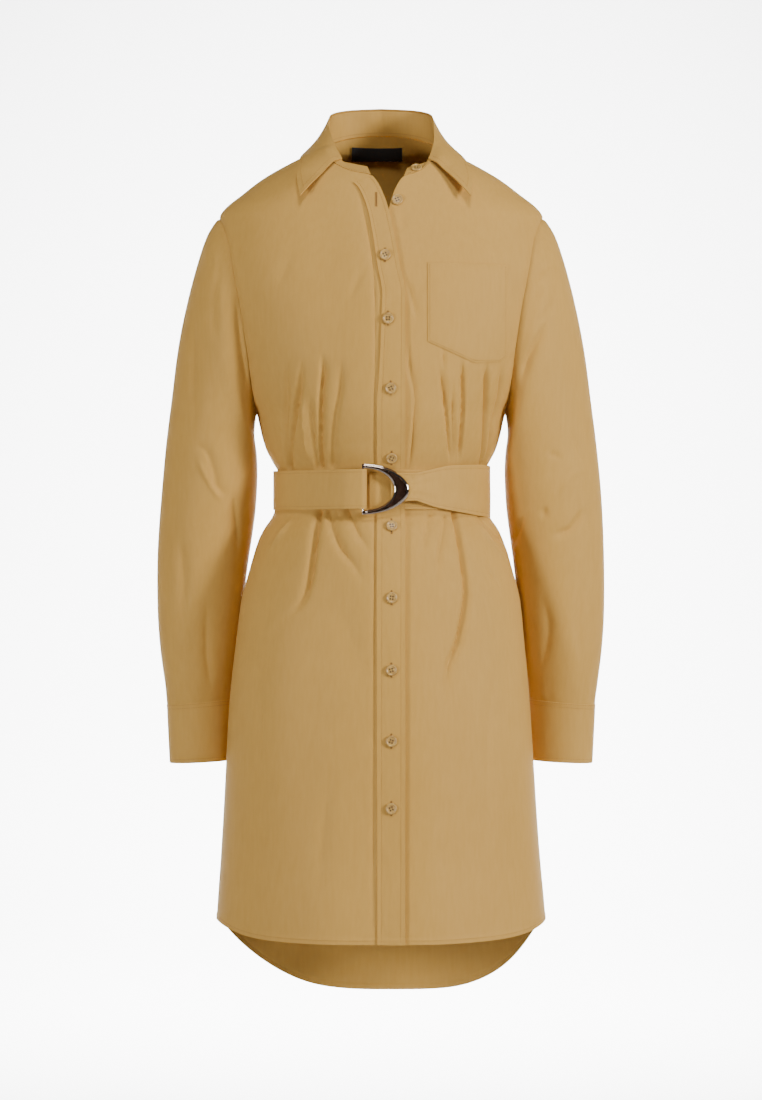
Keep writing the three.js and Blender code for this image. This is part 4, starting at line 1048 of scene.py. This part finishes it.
def noise(tree, place, scale, detail=3.0, roughness=0.5):
    texture = node(tree, "ShaderNodeTexNoise", Scale=scale, Detail=detail, Roughness=roughness)
    tree.links.new(place, texture.inputs["Vector"])
    return texture.outputs["Fac"]


def ramp(tree, value, low, low_color, high, high_color):
    """A blend of two colours between two values."""
    blend = node(tree, "ShaderNodeValToRGB")
    for element, at, color in zip(blend.color_ramp.elements, (low, high), (low_color, high_color)):
        element.position = at
        element.color = (*color, 1)
    tree.links.new(value, blend.inputs["Fac"])
    return blend.outputs["Color"]


def bump(tree, height, strength, distance):
    made = node(tree, "ShaderNodeBump", Strength=strength, Distance=distance)
    tree.links.new(height, made.inputs["Height"])
    return made


def cloth_material(name, light, dark, roughness):
    """Smooth cotton: slow colour variation, a fine grain and the sheen of its fibres."""
    material, tree, shader = new_material(name, roughness)
    shader.inputs["Specular IOR Level"].default_value = 0.11
    shader.inputs["Sheen Weight"].default_value = 0.02
    shader.inputs["Sheen Roughness"].default_value = 0.45
    shader.inputs["Sheen Tint"].default_value = (1.0, 0.9, 0.74, 1)
    place = node(tree, "ShaderNodeTexCoord").outputs["Object"]
    stretch = node(tree, "ShaderNodeMapping", vector_type="POINT", Scale=(1.0, 1.0, 0.16))
    tree.links.new(place, stretch.inputs["Vector"])
    both = node(tree, "ShaderNodeMath", operation="ADD")
    tree.links.new(noise(tree, place, 5.0), both.inputs[0])
    tree.links.new(noise(tree, stretch.outputs["Vector"], 260.0, roughness=0.6), both.inputs[1])
    half = node(tree, "ShaderNodeMath", operation="MULTIPLY")
    half.inputs[1].default_value = 0.5
    tree.links.new(both.outputs[0], half.inputs[0])
    tree.links.new(ramp(tree, half.outputs[0], 0.35, dark, 0.65, light), shader.inputs["Base Color"])
    fine = bump(tree, noise(tree, place, 900.0, 2.0, 0.6), 0.35, CLOTH_GRAIN)
    soft = bump(tree, noise(tree, place, 34.0, 2.0, 0.45), 0.25, CLOTH_CRUMPLE)
    tree.links.new(soft.outputs["Normal"], fine.inputs["Normal"])
    tree.links.new(fine.outputs["Normal"], shader.inputs["Normal"])
    return material


def plain_material(name, color, roughness, metallic=0.0, spots=None, grain=0.0002, scale=300.0):
    """A smooth material with slight variation of its colour and a little grain."""
    material, tree, shader = new_material(name, roughness, metallic)
    value = noise(tree, node(tree, "ShaderNodeTexCoord").outputs["Object"], scale)
    spots = spots or [c * 0.8 for c in color]
    tree.links.new(ramp(tree, value, 0.3, spots, 0.7, color), shader.inputs["Base Color"])
    tree.links.new(bump(tree, value, 0.2, grain).outputs["Normal"], shader.inputs["Normal"])
    return material


CLOTH_GRAIN = 0.00012  # metres
CLOTH_CRUMPLE = 0.0011
tan = cloth_material("tan_cotton", (0.62, 0.354, 0.085), (0.575, 0.322, 0.074), roughness=0.62)
# Dark brown for the plugs in the buttons' holes and the lines along the buttonholes' slits: painted shade
# of those openings.
thread_and_opening_shade = plain_material("thread_and_opening_shade", (0.10, 0.06, 0.03), 0.7, spots=(0.07, 0.04, 0.02))
thread_tan = cloth_material("tan_thread", (0.46, 0.23, 0.055), (0.38, 0.18, 0.04), roughness=0.6)
horn = plain_material("horn", (0.62, 0.39, 0.11), 0.35, spots=(0.42, 0.23, 0.06), scale=260.0)
metal = plain_material("polished_metal", (0.62, 0.52, 0.44), 0.07, metallic=1.0, spots=(0.52, 0.43, 0.36),
                       grain=0.00002)
black_weave = plain_material("black_weave", (0.012, 0.011, 0.010), 0.6, spots=(0.02, 0.018, 0.016),
                             scale=900.0)


def finish_piece(piece, material, nodes=()):
    piece.data.materials.clear()
    piece.data.materials.append(material)
    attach(piece, "root")
    if nodes:
        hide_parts(*nodes)
    return piece


def cloth_piece(name, sheet, inner, outer, node_name):
    return finish_piece(wall(name, sheet, inner, outer), tan, [node_name])


# Panels
right_panel = cloth_piece("right_front_cloth", right_front, -WALL, 0, "front_right")
left_panel = cloth_piece("left_front_cloth", left_front, -WALL, 0, "front_left")
back_panel = cloth_piece("back_cloth", back_sheet, -WALL, 0, "back")

# The band: thinner at its stitches, wrinkled at the neck
band_rows = all_rows <= LOWER_ROWS + NECK_ROW
band = part_of(right_front, band_rows, right_front.us >= -BAND_SHARE - 1e-9)
band_x, band_z = band.points[..., 0], band.points[..., 2]
band_away = np.minimum(-band.us, BAND_SHARE + band.us)[None, :] / BAND_SHARE
band_away = band_away * read(BAND_WIDTHS, "z", "wide", band_z)
band_outer = GAP + BAND_WALL + 0.25 * (bell(band_away, 0, 1.2) - bell(band_away, 5, 1.6))
band_outer = band_outer + waves(17, 26, band_x, band_z * 0.7) * 0.45 * step(-190, -60, band_z)
band_outer = band_outer + waves(18, 80, band_z) * 0.25
band_piece = cloth_piece("button_band", band, LAID_CLEAR, band_outer, "placket")
band_top = band.moved(band_outer)

# The pocket: thinner at its edges, its top edge bulging a little
pocket_xs = np.linspace(POCKET_LEFT, POCKET_RIGHT, 50)
pocket_vs = np.concatenate([[0, 0.02, 0.05], np.linspace(0.1, 0.9, 26), [0.95, 0.98, 1.0]])
px, pv = np.meshgrid(pocket_xs, pocket_vs)
pz = lerp(np.interp(px, POCKET_BOTTOM["x"], POCKET_BOTTOM["z"]), POCKET_TOP, pv)
pocket = Sheet(pocket_xs, pocket_vs, on_cloth(turn_at(px, pz), pz))
pocket_edge = np.minimum(np.minimum(px - POCKET_LEFT, POCKET_RIGHT - px), np.minimum(pv, 1 - pv) * 105)
pocket_out = 1.55 - 0.8 * bell(pocket_edge, 0, 1.2) - 0.25 * bell(pocket_edge, 3, 1.4)
pocket_out = pocket_out + 0.5 * step(0.6, 1, pv) * np.sin(np.pi * (px - POCKET_LEFT) / 94)
pocket_piece = cloth_piece("breast_pocket", pocket, LAID_CLEAR, pocket_out, "pocket")
pocket_top = pocket.moved(pocket_out)

right_arm = cloth_piece("right_sleeve_cloth", right_sleeve, -WALL, 0, "sleeve_right")
left_arm = cloth_piece("left_sleeve_cloth", left_sleeve, -WALL, 0, "sleeve_left")
right_wrist = cloth_piece("right_cuff_cloth", right_cuff, -CUFF_WALL, 0, "cuff_right")
left_wrist = cloth_piece("left_cuff_cloth", left_cuff, -CUFF_WALL, 0, "cuff_left")

stand_piece = cloth_piece("collar_stand_cloth", stand, -COLLAR_WALL / 2, COLLAR_WALL / 2, "collar_stand")
leaf_piece = cloth_piece("collar_leaf_cloth", leaf, -COLLAR_WALL / 2, COLLAR_WALL / 2, "collar_leaf")

belt_piece = cloth_piece("belt_cloth", belt, -BELT_WALL / 2, BELT_WALL / 2, "belt")
tail_piece = cloth_piece("belt_tail_cloth", tail, -BELT_WALL / 2, BELT_WALL / 2, "belt_tail")

# The label under the neck seam
label_xs = np.linspace(LABEL_LEFT, LABEL_RIGHT, 26)
label_zs = np.linspace(LABEL_LOW, LABEL_HIGH, 8)
lx, lz = np.meshgrid(label_xs, label_zs)
label_sheet = Sheet(label_xs, label_zs, form(180 - turn_at(-lx, lz), lz)).moved(-LABEL_IN)
label_edge = np.minimum(np.minimum(lx - LABEL_LEFT, LABEL_RIGHT - lx),
                        np.minimum(lz - LABEL_LOW, LABEL_HIGH - lz))
label_thick = 0.5 - 0.15 * bell(label_edge, 0, 1.2)
label_piece = finish_piece(wall("bare_label", label_sheet, -label_thick, label_thick), black_weave,
                           ["label"])


# Rings: a band that is widest opposite its bar, domed on its front
def ring_piece(name, plane, rise, node_name):
    bar = BAR_X - RING_BAR / 2
    angles = np.radians(np.linspace(-90, 90, 72))
    outer = np.stack([bar + RING_REACH * np.cos(angles), RING_HALF_HIGH * np.sin(angles)], 1)
    reach = RING_WINDOW_REACH - RING_BAR
    inner = np.stack([bar + RING_BAR + reach * np.cos(angles), RING_WINDOW_HALF_HIGH * np.sin(angles)], 1)
    heights = np.linspace(RING_WINDOW_HALF_HIGH, -RING_WINDOW_HALF_HIGH, 24)[1:-1]
    outer = np.concatenate([outer, np.stack([np.full_like(heights, bar), heights], 1)])
    inner = np.concatenate([inner, np.stack([np.full_like(heights, bar + RING_BAR), heights], 1)])
    sides = np.radians(np.arange(0, 360, 20))
    points = []
    for a, b in zip(outer, inner):
        middle, half = (a + b) / 2, (a - b) / 2
        wide = np.linalg.norm(half)
        thick = min(0.8 + wide * 0.13, 1.9)
        for angle in sides:
            across = np.sign(np.cos(angle)) * abs(np.cos(angle)) ** 0.8
            out = np.sin(angle)
            out = out * thick if out > 0 else out * 0.8
            at = middle + half * across
            points.append((at[0], plane - out, at[1] + RING_MIDDLE + rise))
    count, around = len(outer), len(sides)
    faces = []
    for i in range(count):
        here, ahead = i * around, (i + 1) % count * around
        for k in range(around):
            m = (k + 1) % around
            faces.append((here + k, here + m, ahead + m, ahead + k))
    finish_piece(new_object(name, points, faces, sharp=75), metal, [node_name])


for place in RING_PLACES:
    ring_piece(*place)


# Buttons
def button_shape():
    """Points and faces of a button with four holes and a raised rim."""
    flat, edges, walls = [], [], []

    def add_circle(x, y, radius, sides, turning):
        """A circle of points, with a wall where turning is 1 outside or -1 inside it."""
        start = len(flat)
        for k in range(sides):
            angle = 2 * math.pi * k / sides
            flat.append(Vector((x + radius * math.cos(angle), y + radius * math.sin(angle))))
        if turning:
            edges.extend((start + k, start + (k + 1) % sides) for k in range(sides))
            walls.append([start + turning * k % sides for k in range(sides)])

    for share in (1.0, 0.96, 0.9, 0.83, 0.75, 0.67, 0.6, 0.5):
        add_circle(0, 0, BUTTON_RADIUS * share, 40, int(share == 1))
    for x, y in ((1, 1), (-1, 1), (-1, -1), (1, -1)):
        add_circle(x * HOLE_SHIFT, y * HOLE_SHIFT, HOLE_RADIUS, 10, -1)
    flat.append(Vector((0, 0)))
    verts, _, faces = delaunay_2d_cdt(flat, edges, [], 0, 1e-5)[:3]
    verts = np.array([tuple(v) for v in verts])
    kept = []
    for face in faces:
        x, y = verts[list(face)].mean(0)
        if math.hypot(abs(x) - HOLE_SHIFT, abs(y) - HOLE_SHIFT) >= HOLE_RADIUS * 0.93:
            kept.append(tuple(face))
    away = np.hypot(verts[:, 0], verts[:, 1]) / BUTTON_RADIUS
    top = np.interp(away, [0, 0.55, 0.64, 0.75, 0.84, 0.93, 1], [0.66, 0.66, 0.72, 0.95, 1.0, 0.9, 0.6])
    bottom = np.interp(away, [0, 0.8, 1], [0, 0, 0.3])
    points = np.concatenate([np.column_stack([verts, high * BUTTON_HIGH]) for high in (top, bottom)])
    count = len(verts)
    kept += [tuple(i + count for i in reversed(face)) for face in kept]
    for loop in walls:
        kept += [(b, a, a + count, b + count) for a, b in zip(loop, loop[1:] + loop[:1])]
    return points, kept


button_points, button_faces = button_shape()


def place_on(points, seat, normal, spin):
    """Points around the origin put on a seat, with their z along its normal."""
    normal = unit(normal)
    across = unit(np.cross((0, 0, 1), normal))
    up = np.cross(normal, across)
    c, s = math.cos(spin), math.sin(spin)
    a, b = across * c + up * s, up * c - across * s
    return seat + points[:, :1] * a + points[:, 1:2] * b + points[:, 2:] * normal


def add_button(name, seat, normal, spin):
    """A button, and dark thread plugs in its holes; their dark colour is painted shade of the holes."""
    piece = new_object(name + "_horn", place_on(button_points, seat, normal, spin), button_faces, sharp=50)
    finish_piece(piece, horn, [name])
    normals = np.repeat(normal[None], 3, 0)
    for a, b in ((-1, -1), (1, 1), (-1, 1), (1, -1)):
        line = [(a * HOLE_SHIFT + reach, b * HOLE_SHIFT, BUTTON_HIGH / 2)
                for reach in (-HOLE_RADIUS, 0, HOLE_RADIUS)]
        points = place_on(np.array(line), seat, normal, spin)
        # Each hole gets one dark plug filling it: thread, coloured dark as painted shade of the hole.
        sew("button_thread", (points, normals), pitch=2.2, long=2.1, wide=2.1, high=0.25)


def cloth_seat(x, z, lift):
    """A place on the front at x and height, that far out, with its normal."""
    def place(a, b):
        return on_cloth(turn_at(np.array([a]), np.array([b])), np.array([b]))[0]
    normal = unit(np.cross(place(x + 3, z) - place(x - 3, z), place(x, z + 3) - place(x, z - 3)))
    return place(x, z) + normal * lift, normal


def sheet_seat(sheet, u, v, lift):
    """A place on a sheet, that far out, with its normal."""
    place, normal = (a[0] for a in sheet.at(np.array([u]), np.array([v])))
    return place + normal * lift, normal


spins = np.random.default_rng(4).uniform(-0.5, 0.5, 20)
for k, (name, x, z_at) in enumerate(BAND_BUTTONS):
    add_button(name, *cloth_seat(x, z_at, BAND_TOP + 0.45), spins[k])
add_button("button_1", *cloth_seat(*TOP_BUTTON, 0.4), spins[10])
add_button("button_collar", *sheet_seat(stand, COLLAR_BUTTON_AT, 0.5, 1.2), spins[11])
for side, side_name, cuff in ((-1, "right", right_cuff), (1, "left", left_cuff)):
    seat, normal = sheet_seat(cuff, side * CUFF_BUTTON_TURN, -1.0, 0.3)
    add_button("button_cuff_" + side_name, seat, normal, spins[12 + side])


# Buttonholes along the band
def buttonhole(x, z, lift):
    heights = np.linspace(-BUTTONHOLE_HALF_LONG, BUTTONHOLE_HALF_LONG, 12)
    rows = [cloth_seat(x, z + height, lift) for height in heights]
    points = np.array([place for place, _ in rows])
    normals = np.array([normal for _, normal in rows])
    for shift in (-BUTTONHOLE_HALF_WIDE, BUTTONHOLE_HALF_WIDE):
        sew("buttonhole_edges", (points + (shift, 0, 0), normals), pitch=0.9, long=1.7, wide=1.0, high=0.3)
    # Dark lozenges along the cut between the edge stitches: painted shade of the slit.
    sew("buttonhole_slits", (points, normals), pitch=1.6, long=2.2, wide=0.5, high=0.34)


for _, x, z_at in BAND_BUTTONS:
    buttonhole(x, z_at, BAND_TOP + 0.05)
buttonhole(*OPEN_BUTTONHOLE, BAND_TOP + 0.2)


# Stitch lines
def raised(line, lift):
    """A line moved out from its sheet, or to the sheet's other face."""
    points, normals = line
    return points + normals * lift, normals * np.sign(lift)


up_to_neck = all_rows[all_rows <= LOWER_ROWS + NECK_ROW]
for share in (0.16, 0.84):
    sew("band_stitches", band_top.at(-BAND_SHARE * share, up_to_neck[3:]))
HEM_STITCH_ROW = 0.066
for sheet, start, end, count in ((left_front, 0.01, 0.99, 120), (right_front, -0.99, -0.16, 120),
                                 (back_sheet, 0.01, 0.99, 200)):
    sew("hem_stitches", sheet.at(np.linspace(start, end, count), HEM_STITCH_ROW))
POCKET_INSET = 2.4
pocket_ends = (POCKET_LEFT + POCKET_INSET, POCKET_RIGHT - POCKET_INSET)
sew("pocket_stitches", pocket_top.at(np.linspace(*pocket_ends, 60), 0.025))
for x in pocket_ends:
    sew("pocket_stitches", pocket_top.at(x, np.linspace(0.03, 0.97, 40)))
for side, cuff in ((-1, right_cuff), (1, left_cuff)):
    for v in (-0.16, -0.05, -1.86):
        sew("cuff_stitches", cuff.at(np.linspace(cuff.us[0], cuff.us[-1], 110), v))
    sew("cuff_stitches", cuff.at(side * CUFF_END_TURN, np.linspace(-1.95, -0.05, 30)))
for v in (0.07, 0.93):
    for sheet in (belt, tail):
        sew("belt_stitches", raised(sheet.at(sheet.us, v), BELT_WALL / 2))
leaf_us = np.linspace(-LEAF_END + 0.012, LEAF_END - 0.012, 200)
leaf_vs = np.linspace(0.1, 0.95, 40)
for us, vs in ((leaf_us, 0.11), (-LEAF_END + 0.02, leaf_vs), (LEAF_END - 0.02, leaf_vs)):
    sew("collar_stitches", raised(leaf.at(us, vs), COLLAR_WALL / 2))
for lift in (COLLAR_WALL / 2, -COLLAR_WALL / 2):
    sew("collar_stitches", raised(stand.at(np.linspace(-0.98, 0.98, 200), 0.12), lift))

# The painted shade groups get the dark brown material, the other stitches tan thread.
for group in sorted(stitch_groups):
    finish_piece(stitch_object(group), thread_and_opening_shade if group in PAINTED_SHADE_GROUPS else thread_tan)


# Floor, light and camera
def floor_material():
    """Pale grey under the dress and nearly white behind it."""
    material, tree, shader = new_material("pale_floor", 0.9)
    split = node(tree, "ShaderNodeSeparateXYZ")
    tree.links.new(node(tree, "ShaderNodeTexCoord").outputs["Object"], split.inputs[0])
    span = node(tree, "ShaderNodeMapRange", From_Min=0.5, From_Max=1.4)
    tree.links.new(split.outputs["Y"], span.inputs["Value"])
    pale = ramp(tree, span.outputs["Result"], 0, (0.42, 0.42, 0.42), 1, (0.95, 0.95, 0.95))
    tree.links.new(pale, shader.inputs["Base Color"])
    return material


floor_shape = [(-1.6, 0), (0.2, 0), (1.6, 0), (2.7, 0), (3.3, 0), (3.75, 0.01), (4.15, 0.08), (4.42, 0.25),
               (4.6, 0.6), (4.65, 1.3), (4.65, 2.4), (4.65, 4.5)]
FLOOR_HIGH = -1.36
floor_line = [(-6.0, 0.0), *rounded(floor_shape, 6)]
floor_points = [(x / MM, y / MM, (z_at + FLOOR_HIGH) / MM) for y, z_at in floor_line for x in (-6, 6)]
floor_faces = [(2 * k, 2 * k + 1, 2 * k + 3, 2 * k + 2) for k in range(len(floor_line) - 1)]
floor = new_object("studio_floor", floor_points, floor_faces, sharp=80)
floor.data.materials.append(floor_material())


def area_light(name, place, target, size, power):
    light = bpy.data.lights.new(name, "AREA")
    light.shape = "RECTANGLE"
    light.size, light.size_y = size
    light.energy = power
    made = bpy.data.objects.new(name, light)
    made.location = place
    made.rotation_euler = (Vector(target) - Vector(place)).to_track_quat("-Z", "Y").to_euler()
    bpy.context.scene.collection.objects.link(made)
    return made


# A dark wall behind the camera, which the polished rings show
wall_points = [(-2600, -5600, -1350), (2600, -5600, -1350), (2600, -5600, 1500), (-2600, -5600, 1500)]
dark_wall = new_object("studio_dark_wall", wall_points, [(0, 3, 2, 1)], sharp=45)
dark_wall.data.materials.append(plain_material("dark_wall", (0.11, 0.06, 0.04), 0.9, scale=3.0))

area_light("key_light", (3.0, -2.0, 0.3), (0, 0, -0.72), (0.5, 1.0), 126)
area_light("fill_light", (-2.6, -2.3, -0.5), (0, 0, -0.9), (0.5, 1.0), 58)
area_light("top_light", (0.2, -1.7, 2.0), (0, 0, -0.2), (0.7, 0.5), 34)
backdrop_light = area_light("backdrop_light", (0, 0.9, 2.2), (0, 3.4, -0.9), (1.4, 0.5), 640)
backdrop_light.data.spread = math.radians(100)

world = bpy.data.worlds.new("studio")
world.use_nodes = True
world.node_tree.nodes["Background"].inputs["Color"].default_value = (1, 1, 1, 1)
world.node_tree.nodes["Background"].inputs["Strength"].default_value = 0.06
bpy.context.scene.world = world

camera_data = bpy.data.cameras.new("camera")
camera_data.sensor_fit = "VERTICAL"
camera_data.lens = camera_data.sensor_height / 2 / (VIEW_HIGH / 2 / CAMERA_AWAY)
camera = bpy.data.objects.new("camera", camera_data)
camera.location = (0, -CAMERA_AWAY, CAMERA_HIGH)
camera.rotation_euler = (math.radians(90), 0, 0)
bpy.context.scene.collection.objects.link(camera)
bpy.context.scene.camera = camera
